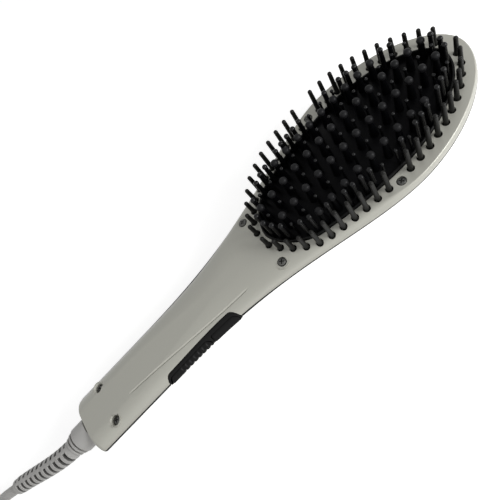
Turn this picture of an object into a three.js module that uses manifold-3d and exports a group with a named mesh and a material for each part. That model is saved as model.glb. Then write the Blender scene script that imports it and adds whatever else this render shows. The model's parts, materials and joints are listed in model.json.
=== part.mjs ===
import * as THREE from 'three';
import { mergeVertices } from 'three/addons/utils/BufferGeometryUtils.js';
import Module from 'manifold-3d';

// Hair straightening brush lying on its back, in millimetres.
// +X points from the handle to the tip of the head and +Z out of the bristle side.
// While it is modelled, x = 0 is the handle's end face and z = 0 is what the brush lies on.

const wasm = await Module();
wasm.setup();

// Housing outline, seen from the bristle side
const bodyLength = 276.5;
const handleHalfWidth = 17.1;
const headHalfWidth = 39.3;
const headWideX = 210.3;
const neckStartX = 39.3;
const neckEase = 1.66;
const tipRoundness = 1.88;
const endCornerRadius = 2.5;

// Housing section
const seamHeight = 18;
const seamLift = 2.4;
const faceRise = 6.8;
const wall = 2.2;
const handleShoulder = 9.5;
const neckShoulder = 18;
const neckShoulderX = 122;
const headShoulder = 1.2;
const frontFullness = 2.3;
const handleBilge = 13.5;
const headBilge = 16.5;
const bilgeSlope = 0.78;
const endRound = 0.8;
const clearance = 0.3;

// Rim bristles in the front shell
const rimInset = 7;
const rimNeckX = 135.7;
const rimBlendX = 164.3;
const fieldFlare = 2.8;
const rimNeckRoundness = 1.7;
const rimPlacesPerSide = 23;
const rimNeckGap = 10.6;
const rimTipGap = 13.9;
const rimBaseRadius = 1.25;
const rimHoleMargin = 0.4;
const rimTopRadius = 0.95;
const rimNeckHeight = 9.5;
const rimMidHeight = 16;
const rimTipHeight = 11;
const rimBackingWidth = 3.8;
const rimBackingThickness = 1;

// Heated plate with its teeth
const openingInset = 10.3;
const surroundLip = 1;
const surroundLipRise = 0.3;
const surroundFlange = 4;
const surroundFlangeThickness = 1.2;
const surroundLedge = 1.8;
const surroundLedgeThickness = 1.9;
const surroundPostRadius = 2;
const surroundPostRoom = { neck: [17, 39], tip: [37, 15] };
const plateEdgeDrop = 1.3;
const plateCrown = 4.4;
const toothPitch = 8.6;
const rowPitch = 6.45;
const latticeShiftX = 1.6;
const toothBaseRadius = 2.2;
const toothTopRadius = 1.3;
const toothLength = 10.5;
const capRadius = 2.1;
const capLength = 3.2;
const pinRadius = 0.65;
const pinBallRadius = 1;
const pinLength = 12.2;
const pinHoleMargin = 0.45;
const railWidth = 1.6;
const railThickness = 0.9;
const railTieColumns = [-1, 1];

// Heater stack under the plate
const heaterLength = 66;
const heaterWidth = 22;
const heaterThickness = 1.6;
const heaterShiftX = 2.2;
const insulationMargin = 3;
const insulationThickness = 0.6;
const clampWidth = 18;
const clampThickness = 1.2;
const clampScrewMargin = 5.5;
const clampBossRadius = 2.8;
const clampScrewY = 6.45;
const fuseRadius = 2;
const fuseLength = 12;
const sensorSize = 3;
const shieldHeight = 11;
const shieldThickness = 0.8;
const shieldPostRadius = 2.2;
const shieldPostY = 14;
const shieldPostRoom = { neck: 31, tip: 20 };
const shieldInset = 16.8;

// Screws
const screwHeadRadius = 2.2;
const screwHeadHeight = 1.6;
const screwShankRadius = 1;
const screwLength = 9;
const screwRecess = 1.8;
const endScrewRecess = 4.2;
const screwFloor = 1.8;
const bossRadius = 2.9;
const recessMargin = 0.3;
const screwBossWall = 1.2;
const endScrewX = 17.1;
const endScrewY = 10.5;
const neckScrewX = 135.5;
const neckScrewY = 17;
const headScrewX = 201;
const headScrewInset = 5.5;

// Control strip in the right-hand side wall
const stripStartX = 50.8;
const stripLength = 51;
const stripHeight = 8;
const stripRim = 0.8;
const stripProud = 0.3;
const buttonProud = 0.6;
const buttonLength = 18;
const bezelBackY = 12;
const bezelTabLength = 1.8;
const bezelTabHeight = 4.4;
const buttonTravel = 0.6;
const rockerTilt = 2.2;
const rockerEndGap = 0.7;
const rockerRibs = 6;
const rockerRibPitch = 3;
const rockerGrooveWidth = 1.1;
const rockerGrooveDepth = 0.5;
const rockerRibShift = 3.5;
const rockerReach = 12;
const rockerPinY = 9.8;
const rockerPinRadius = 0.8;
const lugThickness = 0.9;

// Switch board behind the strip
const switchBoardY = 5.2;
const switchBoardThickness = 1.4;
const switchBoardHeight = 12;
const switchBodySize = 5.2;
const switchBodyDepth = 2.7;
const switchPlungerRadius = 1;

// Control board in the neck
const boardStartX = 103.8;
const boardLength = 42;
const boardWidth = 19;
const boardHeight = 8.6;
const boardThickness = 1.6;
const boardPostInset = 3.4;
const boardPostRadius = 2.6;
const connectorStart = 34;
const connectorEnd = 40;
const connectorHeight = 7;

// Swivelling cord outlet
const collarHeight = 17;
const collarRadius = 7.6;
const collarLength = 15;
const collarNeckRadius = 4.3;
const collarFlangeRadius = 5.2;
const collarFlangeThickness = 2.2;
const collarSpindleRadius = 3;
const collarSpindleLength = 12;
const slipRingRadius = 4.5;
const slipRingWidth = 2;
const slipRingSpacing = 5;
const contactBlockTop = 10.5;

// Mains cord
const cordDiameter = 6;
const bootBaseRadius = 5.5;
const bootEndRadius = 4.7;
const bootRibs = 11;
const bootRibDepth = 0.9;
const bootEnd = new THREE.Vector3(-62.4, 12.2, 11.4);
const cordSides = 10;
const coilCentreX = -143.2;
const coilCentreY = -11;
const coilInnerRadius = 25;
const coilTurnPitch = 6.6;
const coilSpiralTurns = 3.5;
const coilSides = 6;
const coilStepsPerTurn = 18;
const coilDip = 1.1;
const tieThickness = 0.6;
const tieWidth = 8;
const tieSlack = 0.9;
const plugThickness = 13.6;
const plugWidth = 35.3;
const plugLength = 24;
const plugBootLength = 12;
const plugRearWidth = 16;
const plugPinRadius = 2;
const plugPinLength = 19;
const plugPinSpacing = 19;
const plugLeadLength = 42;

// Sizes that follow from the sizes above
const wallReach = headHalfWidth + 5;
const wallOverrun = seamLift + 1;
const screwRecessRadius = screwHeadRadius + recessMargin;
const screwBossRadius = screwRecessRadius + screwBossWall;
const bossRoom = screwBossRadius + clearance;
const faceZ = seamHeight + faceRise;
const ceilingZ = faceZ - wall;
const backingZ = ceilingZ - clearance - rimBackingThickness;
const surroundBottomZ = backingZ - clearance - surroundFlangeThickness;
const surroundTopZ = faceZ + surroundLipRise;
const ledgeTopZ = surroundBottomZ + surroundLedgeThickness;
const plateBottomZ = ledgeTopZ + clearance;
const plateInset = openingInset + clearance + surroundLip + clearance;
const plateStartX = rimNeckX + plateInset - rimInset;
const plateEndX = bodyLength - plateInset;
const plateCentreX = (plateStartX + plateEndX) / 2;
const heaterCentreX = plateCentreX + heaterShiftX;
const heaterTopZ = plateBottomZ - clearance;
const insulationTopZ = heaterTopZ - heaterThickness - clearance;
const clampTopZ = insulationTopZ - insulationThickness - clearance;
const clampBottomZ = clampTopZ - clampThickness;
const stripEndX = stripStartX + stripLength;
const tieGap = 0.3;
const cordRadius = cordDiameter / 2;
const coilLowZ = cordRadius + tieThickness + tieGap;
const coilOuterRadius = coilInnerRadius + coilSpiralTurns * coilTurnPitch;

// Finishes
const finishes = {
  housing: { color: 0xa9a99f, roughness: 0.42, metalness: 0.35 },
  blackCoat: { color: 0x101013, roughness: 0.38, metalness: 0.1 },
  rimPlastic: { color: 0x2b2b2b, roughness: 0.55, metalness: 0 },
  controlPlastic: { color: 0x0b0b0c, roughness: 0.45, metalness: 0 },
  darkSteel: { color: 0x4a4a48, roughness: 0.4, metalness: 0.8 },
  brightSteel: { color: 0xb8bbbe, roughness: 0.3, metalness: 0.9 },
  brass: { color: 0xc2a14d, roughness: 0.35, metalness: 0.9 },
  ceramic: { color: 0xe6e2da, roughness: 0.6, metalness: 0 },
  mica: { color: 0xcbbd9a, roughness: 0.6, metalness: 0 },
  board: { color: 0x1f5a34, roughness: 0.5, metalness: 0 },
  component: { color: 0x2a2a2e, roughness: 0.5, metalness: 0 },
  filmYellow: { color: 0xc9a227, roughness: 0.45, metalness: 0 },
  cordPlastic: { color: 0x8f8f8b, roughness: 0.55, metalness: 0 },
  leadRed: { color: 0x8a2a22, roughness: 0.6, metalness: 0 },
};

const brush = new THREE.Group();

function smooth(t) {
  const s = Math.min(Math.max(t, 0), 1);
  return s * s * (3 - 2 * s);
}

// How far a place along the brush has turned from handle into head, from 0 to 1
function headShare(x) {
  const along = Math.max((x - neckStartX) / (headWideX - neckStartX), 0);
  return smooth(along ** neckEase);
}

function halfWidth(x) {
  if (x > headWideX) {
    return headHalfWidth * roundOff((x - headWideX) / (bodyLength - headWideX), tipRoundness);
  }
  return handleHalfWidth + (headHalfWidth - handleHalfWidth) * headShare(x);
}

function roundOff(t, power) {
  return Math.max(1 - Math.min(t, 1) ** power, 0) ** (1 / power);
}

// How far the curve from the side into the face reaches inwards
function shoulderAt(x) {
  if (x < neckShoulderX) {
    const widening = smooth((x - neckStartX) / (neckShoulderX - neckStartX));
    return handleShoulder + (neckShoulder - handleShoulder) * widening;
  }
  const narrowing = smooth((x - neckShoulderX) / (headWideX - neckShoulderX));
  return neckShoulder + (headShoulder - neckShoulder) * narrowing;
}

// The seam climbs towards the head, and the heights above and below it follow
function liftedZ(x, z) {
  const share = z < seamHeight ? z / seamHeight : (faceZ - z) / faceRise;
  return z + seamLift * headShare(x) * share;
}

// A loop around the whole housing, drawn in from its outline by the inset at each place
function bodyLoop({ insetAt, end, z }) {
  const corner = Math.max(endCornerRadius - end * 0.4, 0.8);
  const sideAt = (x) => halfWidth(x) - insetAt(x);
  const tipInset = insetAt(headWideX);
  const half = [];
  const cornerSteps = 2;
  for (let i = 0; i <= cornerSteps; i += 1) {
    const angle = (i / cornerSteps) * (Math.PI / 2);
    const y = sideAt(end + corner) - corner * (1 - Math.sin(angle));
    half.push([end + corner * (1 - Math.cos(angle)), y]);
  }
  const sideSteps = 10;
  for (let i = 1; i <= sideSteps; i += 1) {
    const x = end + corner + (headWideX - end - corner) * (i / sideSteps);
    half.push([x, sideAt(x)]);
  }
  const tipSteps = 8;
  for (let i = 1; i <= tipSteps; i += 1) {
    const t = Math.sin((i / tipSteps) * (Math.PI / 2));
    const x = headWideX + (bodyLength - tipInset - headWideX) * t;
    half.push([x, i === tipSteps ? 0 : (headHalfWidth - tipInset) * roundOff(t, tipRoundness)]);
  }
  return mirrorLoop(half, (x) => liftedZ(x, z), false);
}

// Half width of the bristle field between its neck end and the widest place of the head
function fieldHalf(x, inset) {
  const flare = fieldFlare * (1 - smooth((x - rimBlendX) / (headWideX - rimBlendX)));
  if (x >= rimBlendX) {
    return halfWidth(x) - inset + flare;
  }
  const neckX = rimNeckX + inset - rimInset;
  const back = (rimBlendX - x) / (rimBlendX - neckX);
  return (halfWidth(rimBlendX) - inset + flare) * roundOff(back, rimNeckRoundness);
}

// A loop around the bristle field of the head, drawn in from the housing's outline
function headLoop(inset, z) {
  const neckX = rimNeckX + inset - rimInset;
  const half = [[neckX, 0]];
  const neckSteps = 5;
  for (let i = 1; i <= neckSteps; i += 1) {
    const t = i === neckSteps ? 0 : Math.cos((i / neckSteps) * (Math.PI / 2));
    const x = rimBlendX - (rimBlendX - neckX) * t;
    half.push([x, fieldHalf(x, inset)]);
  }
  const sideSteps = 3;
  for (let i = 1; i <= sideSteps; i += 1) {
    const x = rimBlendX + (headWideX - rimBlendX) * (i / sideSteps);
    half.push([x, fieldHalf(x, inset)]);
  }
  const tipSteps = 7;
  for (let i = 1; i <= tipSteps; i += 1) {
    const t = Math.sin((i / tipSteps) * (Math.PI / 2));
    const x = headWideX + (bodyLength - inset - headWideX) * t;
    half.push([x, i === tipSteps ? 0 : (headHalfWidth - inset) * roundOff(t, tipRoundness)]);
  }
  return mirrorLoop(half, () => z, true);
}

// Right side from the handle to the tip, then the left side back
function mirrorLoop(half, zAt, startsOnAxis) {
  const right = half.map(([x, y]) => new THREE.Vector3(x, -y, zAt(x)));
  const left = half.slice(startsOnAxis ? 1 : 0, -1).reverse();
  return right.concat(left.map(([x, y]) => new THREE.Vector3(x, y, zAt(x))));
}

function capFaces(ring, offset, upward) {
  const contour = ring.map((p) => new THREE.Vector2(p.x, p.y));
  const faces = THREE.ShapeUtils.triangulateShape(contour, []);
  const out = [];
  faces.forEach(([a, b, c]) => {
    const area = THREE.ShapeUtils.area([contour[a], contour[b], contour[c]]);
    const turned = (area > 0) === upward;
    out.push(...(turned ? [a, b, c] : [a, c, b]).map((k) => k + offset));
  });
  return out;
}

function bandFaces(count, from, to) {
  const out = [];
  for (let j = 0; j < count; j += 1) {
    const next = (j + 1) % count;
    out.push(from + j, from + next, to + next);
    out.push(from + j, to + next, to + j);
  }
  return out;
}

function surfaceOf(points, index) {
  const geometry = new THREE.BufferGeometry();
  const numbers = points.flatMap((p) => [p.x, p.y, p.z]);
  geometry.setAttribute('position', new THREE.Float32BufferAttribute(numbers, 3));
  geometry.setIndex(index);
  return geometry;
}

// Level loops joined one above the other and closed at both ends, lowest first
function stack(rings) {
  const count = rings[0].length;
  const index = [];
  for (let k = 0; k < rings.length - 1; k += 1) {
    index.push(...bandFaces(count, k * count, (k + 1) * count));
  }
  index.push(...capFaces(rings[0], 0, false));
  index.push(...capFaces(rings[rings.length - 1], (rings.length - 1) * count, true));
  return surfaceOf(rings.flat(), index);
}

// A ring of one section: loops joined round the section and back to the first
function hoop(rings) {
  const count = rings[0].length;
  const index = [];
  for (let k = 0; k < rings.length; k += 1) {
    index.push(...bandFaces(count, k * count, ((k + 1) % rings.length) * count));
  }
  return surfaceOf(rings.flat(), index);
}

function solidOf(geometry) {
  const bare = geometry.clone();
  bare.deleteAttribute('normal');
  bare.deleteAttribute('uv');
  const merged = mergeVertices(bare, 1e-4);
  const index = [];
  const corner = (i) => new THREE.Vector3().fromBufferAttribute(merged.attributes.position, i);
  let volume = 0;
  for (let i = 0; i < merged.index.count; i += 3) {
    const [a, b, c] = [0, 1, 2].map((k) => merged.index.getX(i + k));
    if (a !== b && b !== c && a !== c) {
      index.push(a, b, c);
      volume += corner(a).dot(corner(b).cross(corner(c)));
    }
  }
  if (volume < 0) {
    index.reverse();
  }
  return new wasm.Manifold(new wasm.Mesh({
    numProp: 3,
    vertProperties: new Float32Array(merged.attributes.position.array),
    triVerts: new Uint32Array(index),
  }));
}

function geometryOf(solid) {
  const mesh = solid.getMesh();
  const geometry = new THREE.BufferGeometry();
  geometry.setAttribute('position', new THREE.BufferAttribute(new Float32Array(mesh.vertProperties), 3));
  geometry.setIndex(new THREE.BufferAttribute(new Uint32Array(mesh.triVerts), 1));
  return geometry;
}

function addPiece(name, shape, finish) {
  const geometry = shape.isBufferGeometry ? shape : geometryOf(shape);
  const flat = geometry.index ? geometry.toNonIndexed() : geometry;
  flat.deleteAttribute('normal');
  flat.computeVertexNormals();
  const mesh = new THREE.Mesh(flat, new THREE.MeshStandardMaterial(finishes[finish]));
  mesh.name = name;
  brush.add(mesh);
}

// Copies of one piece, numbered from 1
function addCopies(name, places, make, finish) {
  places.forEach((place, i) => {
    addPiece(`${name}_${i + 1}`, make(place), finish);
  });
}

function boxBetween([x0, y0, z0], [x1, y1, z1]) {
  const box = new THREE.BoxGeometry(x1 - x0, y1 - y0, z1 - z0);
  return box.translate((x0 + x1) / 2, (y0 + y1) / 2, (z0 + z1) / 2);
}

function postAt(x, y, bottom, top, radius, sides = 12, topRadius = radius) {
  const post = new THREE.CylinderGeometry(topRadius, radius, top - bottom, sides);
  return post.rotateX(Math.PI / 2).translate(x, y, (bottom + top) / 2);
}

function rodAlongX(x0, x1, y, z, radius, sides = 12) {
  const rod = new THREE.CylinderGeometry(radius, radius, x1 - x0, sides);
  return rod.rotateZ(Math.PI / 2).translate((x0 + x1) / 2, y, z);
}

function rodAlongY(x, y0, y1, z, radius, sides = 10) {
  const rod = new THREE.CylinderGeometry(radius, radius, y1 - y0, sides);
  return rod.translate(x, (y0 + y1) / 2, z);
}

// A turned shape about an axis along X, from pairs of place and radius
function turnedAlongX(profile, y, z, sides) {
  const points = profile.map(([x, radius]) => new THREE.Vector2(radius, x));
  const turned = new THREE.LatheGeometry(points, sides);
  return turned.rotateZ(-Math.PI / 2).translate(0, y, z);
}

function tubeAlong(points, radius, sides, steps) {
  const section = new THREE.Shape();
  for (let i = 0; i < sides; i += 1) {
    const angle = (i / sides) * Math.PI * 2;
    const place = [radius * Math.cos(angle), radius * Math.sin(angle)];
    if (i === 0) {
      section.moveTo(...place);
    } else {
      section.lineTo(...place);
    }
  }
  section.closePath();
  const places = points.map((p) => new THREE.Vector3(...p));
  const path = new THREE.CatmullRomCurve3(places, false, 'centripetal');
  return new THREE.ExtrudeGeometry(section, { steps, extrudePath: path });
}

// Housing shells

// Steps round the curve of the front section, from the seam inwards
function frontSteps(count) {
  const steps = [];
  for (let i = 0; i <= count; i += 1) {
    const angle = (i / count) * (Math.PI / 2);
    const inward = i === count ? 1 : 1 - Math.cos(angle) ** (2 / frontFullness);
    steps.push({ inward, across: Math.sin(angle) ** (2 / frontFullness) });
  }
  return steps;
}

// The rear section draws in at once below the seam and then levels out
function rearSteps(count) {
  const steps = [];
  for (let i = 0; i <= count; i += 1) {
    const u = i / count;
    steps.push({ inward: 2 * u * (1 - u) * bilgeSlope + u * u, across: 1 - (1 - u) ** 2 });
  }
  return steps;
}

const outerCount = 4;
const innerCount = 3;
const stepCount = (skin) => (skin > clearance ? innerCount : outerCount);

function bilgeAt(x) {
  return handleBilge + (headBilge - handleBilge) * headShare(x);
}

function plainLoop(skin, z) {
  return bodyLoop({ insetAt: () => skin, end: skin, z });
}

function rearBody(skin, extra) {
  const depth = seamHeight - clearance / 2 - skin;
  const rings = [];
  rearSteps(stepCount(skin)).reverse().forEach(({ inward, across }) => {
    rings.push(bodyLoop({
      insetAt: (x) => skin + (bilgeAt(x) - skin) * inward,
      end: skin + Math.max(endRound - skin, 0.3) * inward,
      z: seamHeight - clearance / 2 - depth * across,
    }));
  });
  if (extra) {
    rings.push(plainLoop(skin, seamHeight + extra));
  }
  return solidOf(stack(rings));
}

function frontBody(skin, extra) {
  const rise = faceRise - clearance / 2 - skin;
  const rings = [];
  if (extra) {
    rings.push(plainLoop(skin, seamHeight - extra));
  }
  frontSteps(stepCount(skin)).forEach(({ inward, across }) => {
    rings.push(bodyLoop({
      insetAt: (x) => skin + Math.max(shoulderAt(x) - skin, 0.2) * inward,
      end: skin + Math.max(endRound - skin, 0.3) * inward,
      z: seamHeight + clearance / 2 + rise * across,
    }));
  });
  return solidOf(stack(rings));
}

function screwPlaces() {
  const headScrewY = halfWidth(headScrewX) - headScrewInset;
  const places = [
    { x: endScrewX, y: endScrewY, recess: endScrewRecess },
    { x: neckScrewX, y: neckScrewY, recess: screwRecess },
    { x: headScrewX, y: headScrewY, recess: screwRecess },
  ];
  return places.flatMap((place) => [place, { ...place, y: -place.y }]);
}

const seatZ = (place) => faceZ - place.recess;
const bossMeetZ = (place) => seatZ(place) - screwFloor;

// A flat bar with round ends standing across the right-hand wall
function stripBar(x0, x1, halfHeight, yOut, yIn, endRadius = halfHeight) {
  const shape = new THREE.Shape();
  const r = Math.min(endRadius, halfHeight);
  shape.moveTo(x0 + r, -halfHeight);
  shape.lineTo(x1 - halfHeight, -halfHeight);
  shape.absarc(x1 - halfHeight, 0, halfHeight, -Math.PI / 2, Math.PI / 2, false);
  shape.lineTo(x0 + r, halfHeight);
  shape.absarc(x0 + r, halfHeight - r, r, Math.PI / 2, Math.PI, false);
  shape.absarc(x0 + r, r - halfHeight, r, Math.PI, Math.PI * 1.5, false);
  const bar = new THREE.ExtrudeGeometry(shape, {
    depth: yIn - yOut,
    bevelEnabled: false,
    curveSegments: 4,
  });
  return bar.rotateX(Math.PI / 2).translate(0, yIn, seamHeight);
}

// The whole housing as one solid, grown outwards or, below zero, drawn inwards
function wholeBody(proud) {
  const seamBand = stack([plainLoop(-proud, seamHeight - 0.2), plainLoop(-proud, seamHeight + 0.2)]);
  return frontBody(-proud, 0).add(rearBody(-proud, 0)).add(solidOf(seamBand));
}

const bezelHalf = stripHeight / 2;
const switchMouthY = switchBoardY + clearance + switchBodyDepth + 0.2;

function cutControlOpening(shell) {
  const opening = stripBar(
    stripStartX - clearance,
    stripEndX + clearance,
    bezelHalf + clearance,
    -wallReach,
    -switchMouthY,
  );
  return shell.subtract(solidOf(opening));
}

function cutCollarHole(shell) {
  const hole = rodAlongX(-wall, wall + clearance / 2, 0, collarHeight, collarNeckRadius + clearance, 24);
  return shell.subtract(solidOf(hole));
}

function boardPosts() {
  const x0 = boardStartX + boardPostInset;
  const x1 = boardStartX + boardLength - boardPostInset;
  const y = boardWidth / 2 - boardPostInset;
  return [[x0, y], [x0, -y], [x1, y], [x1, -y]];
}

const shieldPostXs = [
  rimNeckX + shieldInset - rimInset + shieldPostRoom.neck,
  bodyLength - shieldInset - shieldPostRoom.tip,
];
const shieldPosts = shieldPostXs.flatMap((x) => [[x, shieldPostY], [x, -shieldPostY]]);
const surroundPostXs = [
  ...surroundPostRoom.neck.map((room) => plateStartX + room),
  ...surroundPostRoom.tip.map((room) => plateEndX - room),
];
const surroundPosts = surroundPostXs.flatMap((x) => {
  const y = fieldHalf(x, openingInset + clearance + surroundPostRadius / 2);
  return [[x, y], [x, -y]];
});

function makeRearShell() {
  const outer = rearBody(0, 0);
  let shell = outer.subtract(rearBody(wall, wallOverrun));
  const addPost = (x, y, top, radius) => {
    const post = solidOf(postAt(x, y, wall / 2, top, radius, 6));
    shell = shell.add(post.intersect(columnInside(outer, top)));
  };
  screwPlaces().forEach((place) => {
    addPost(place.x, place.y, bossMeetZ(place) - clearance, bossRadius);
  });
  surroundPosts.forEach(([x, y]) => addPost(x, y, surroundBottomZ - clearance, surroundPostRadius));
  boardPosts().forEach(([x, y]) => addPost(x, y, boardHeight - clearance, boardPostRadius));
  shieldPosts.forEach(([x, y]) => addPost(x, y, shieldHeight - clearance, shieldPostRadius));
  screwPlaces().forEach((place) => {
    const top = bossMeetZ(place);
    const bottom = seatZ(place) - screwLength - 1;
    const hole = postAt(place.x, place.y, bottom, top, screwShankRadius + clearance, 6);
    shell = shell.subtract(solidOf(hole));
  });
  boardScrewPlaces().forEach(([x, y]) => {
    const hole = postAt(x, y, wall, boardHeight, boardScrewShank + clearance, 6);
    shell = shell.subtract(solidOf(hole));
  });
  shell = addBoardRibs(shell, outer);
  return cutCollarHole(cutControlOpening(shell));
}

// The rear housing's own space, carried up past the seam so that posts can stand above it
function columnInside(outer, top) {
  const inset = wall + clearance;
  const walls = plainLoop(inset, seamHeight - clearance);
  const lid = walls.map((p) => new THREE.Vector3(p.x, p.y, Math.max(top, seamHeight + seamLift) + 1));
  return outer.add(solidOf(stack([walls, lid])));
}

// Two slotted ribs that hold the switch board's ends
function addBoardRibs(shell, outer) {
  let ribbed = shell;
  const ribHalf = 1.5;
  const ribTop = seamHeight - bezelHalf - 2 * clearance;
  [switchBoardStartX + ribHalf, switchBoardEndX - ribHalf].forEach((x) => {
    const outerY = switchBoardY + clearance + ribHalf;
    const innerY = switchBoardY - switchBoardThickness - clearance - ribHalf;
    const rib = boxBetween([x - ribHalf, -outerY, wall / 2], [x + ribHalf, -innerY, ribTop]);
    const slot = boxBetween(
      [x - 2 * ribHalf, -switchBoardY - clearance, switchBoardBottomZ - clearance],
      [x + 2 * ribHalf, -switchBoardY + switchBoardThickness + clearance, ribTop + 1],
    );
    ribbed = ribbed.add(solidOf(rib).intersect(outer)).subtract(solidOf(slot));
  });
  return ribbed;
}

function makeFrontShell() {
  const outer = frontBody(0, 0);
  let shell = outer.subtract(frontBody(wall, wallOverrun));
  screwPlaces().forEach((place) => {
    const boss = postAt(place.x, place.y, bossMeetZ(place), faceZ - wall / 2, screwBossRadius, 8);
    shell = shell.add(solidOf(boss).intersect(outer));
  });
  const opening = stack([headLoop(openingInset, seamHeight), headLoop(openingInset, faceZ + 1)]);
  shell = shell.subtract(solidOf(opening));
  screwPlaces().forEach((place) => {
    const recess = postAt(place.x, place.y, seatZ(place), faceZ + 1, screwRecessRadius, 10);
    const hole = postAt(place.x, place.y, seamHeight - 2, faceZ, screwShankRadius + clearance, 6);
    shell = shell.subtract(solidOf(recess)).subtract(solidOf(hole));
  });
  rimPlaces().forEach(({ x, y }) => {
    const hole = postAt(x, y, ceilingZ - 1, faceZ + 1, rimBaseRadius + rimHoleMargin, 5);
    shell = shell.subtract(solidOf(hole));
  });
  return cutCollarHole(cutControlOpening(shell));
}

// Rim bristles

// Places spread evenly along the rim line, with the head screw's place left out
function rimPlaces() {
  const line = headLoop(rimInset, 0);
  const right = line.filter((p) => p.y <= 1e-9);
  const lengths = [0];
  for (let i = 1; i < right.length; i += 1) {
    lengths.push(lengths[i - 1] + right[i].distanceTo(right[i - 1]));
  }
  const total = lengths[lengths.length - 1];
  const pitch = (total - rimNeckGap / 2 - rimTipGap / 2) / (rimPlacesPerSide - 1);
  const places = [];
  for (let i = 0; i < rimPlacesPerSide; i += 1) {
    const along = rimNeckGap / 2 + i * pitch;
    let k = 1;
    while (k < right.length - 1 && lengths[k] < along) {
      k += 1;
    }
    const part = (along - lengths[k - 1]) / (lengths[k] - lengths[k - 1]);
    const place = right[k - 1].clone().lerp(right[k], part);
    if (Math.abs(place.x - headScrewX) > pitch / 2) {
      places.push({ x: place.x, y: place.y }, { x: place.x, y: -place.y });
    }
  }
  return places;
}

function rimHeightAt(x) {
  if (x < headWideX) {
    const rising = smooth((2 * (x - rimNeckX)) / (headWideX - rimNeckX));
    return rimNeckHeight + (rimMidHeight - rimNeckHeight) * rising;
  }
  const falling = smooth((x - headWideX) / (bodyLength - rimInset - headWideX));
  return rimMidHeight + (rimTipHeight - rimMidHeight) * falling;
}

// A bristle of few sides with a rounded end, fused into what it stands on
function bristle(x, y, bottom, top, baseRadius, endRadius, sides) {
  const profile = [
    [0, bottom],
    [baseRadius, bottom],
    [endRadius, top - endRadius],
    [0, top],
  ];
  const points = profile.map(([radius, z]) => new THREE.Vector2(radius, z));
  return new THREE.LatheGeometry(points, sides).rotateX(Math.PI / 2).translate(x, y, 0);
}

// The strip on one side of the head screws, towards the neck or towards the tip
function makeRimStrip(towardsTip) {
  const half = rimBackingWidth / 2;
  const top = backingZ + rimBackingThickness;
  let strip = solidOf(hoop([
    headLoop(rimInset - half, backingZ),
    headLoop(rimInset - half, top),
    headLoop(rimInset + half, top),
    headLoop(rimInset + half, backingZ),
  ])).intersect(frontBody(wall + clearance, wallOverrun));
  strip = strip.subtract(solidOf(boxBetween(
    [towardsTip ? 0 : headScrewX, -wallReach, backingZ - 1],
    [towardsTip ? headScrewX : bodyLength, wallReach, top + 1],
  )));
  screwPlaces().forEach((place) => {
    strip = strip.subtract(solidOf(postAt(place.x, place.y, backingZ - 1, top + 1, bossRoom, 10)));
  });
  rimPlaces().filter(({ x }) => (x > headScrewX) === towardsTip).forEach(({ x, y }) => {
    const end = faceZ + rimHeightAt(x);
    const middle = backingZ + rimBackingThickness / 2;
    strip = strip.add(solidOf(bristle(x, y, middle, end, rimBaseRadius, rimTopRadius, 5)));
  });
  return strip;
}

// Heated plate, its teeth and the pins between them

const plateLoop = headLoop(plateInset, 0);

// How far a point lies from the plate's centre towards its edge, from 0 to 1
function plateReach(x, y) {
  let reach = 0;
  const px = x - plateCentreX;
  plateLoop.forEach((a, i) => {
    const b = plateLoop[(i + 1) % plateLoop.length];
    const nx = b.y - a.y;
    const ny = a.x - b.x;
    const edge = nx * (a.x - plateCentreX) + ny * a.y;
    reach = Math.max(reach, (nx * px + ny * y) / edge);
  });
  return reach;
}

const plateEdgeZ = faceZ - plateEdgeDrop;
const plateTopZ = (x, y) => plateEdgeZ + plateCrown * (1 - plateReach(x, y) ** 2);

// Every second row carries teeth and the rows between them carry pins
function latticePlaces(wantTeeth, edgeRoom) {
  const places = [];
  const rows = Math.ceil(headHalfWidth / rowPitch);
  const columns = Math.ceil(bodyLength / toothPitch);
  for (let row = -rows; row <= rows; row += 1) {
    const isTooth = Math.abs(row) % 2 === 1;
    const pair = Math.floor((3 - row) / 2);
    const shift = Math.abs(pair) % 2 === 0 ? 0 : 0.5;
    for (let column = -columns; column <= columns; column += 1) {
      const x = headWideX + latticeShiftX + (column + shift) * toothPitch;
      const y = row * rowPitch;
      if (isTooth === wantTeeth && liesInPlate(x, y, edgeRoom)) {
        places.push({ x, y });
      }
    }
  }
  return places;
}

function liesInPlate(x, y, room) {
  return plateLoop.every((a, i) => {
    const b = plateLoop[(i + 1) % plateLoop.length];
    const length = Math.hypot(b.x - a.x, b.y - a.y);
    const inside = ((b.x - a.x) * (y - a.y) - (b.y - a.y) * (x - a.x)) / length;
    return inside > room;
  });
}

const teeth = latticePlaces(true, toothBaseRadius + 0.4);
const pins = latticePlaces(false, railWidth / 2 + clearance);
const clampReach = heaterLength / 2 + insulationMargin + clampScrewMargin;
const clampScrewPlaces = [
  { x: heaterCentreX - clampReach, y: -clampScrewY },
  { x: heaterCentreX + clampReach, y: clampScrewY },
];
const clampShankTopZ = plateBottomZ + 0.5;
const clampEnds = clampBossRadius + 0.5;
const clampStartX = heaterCentreX - clampReach - clampEnds;

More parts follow.
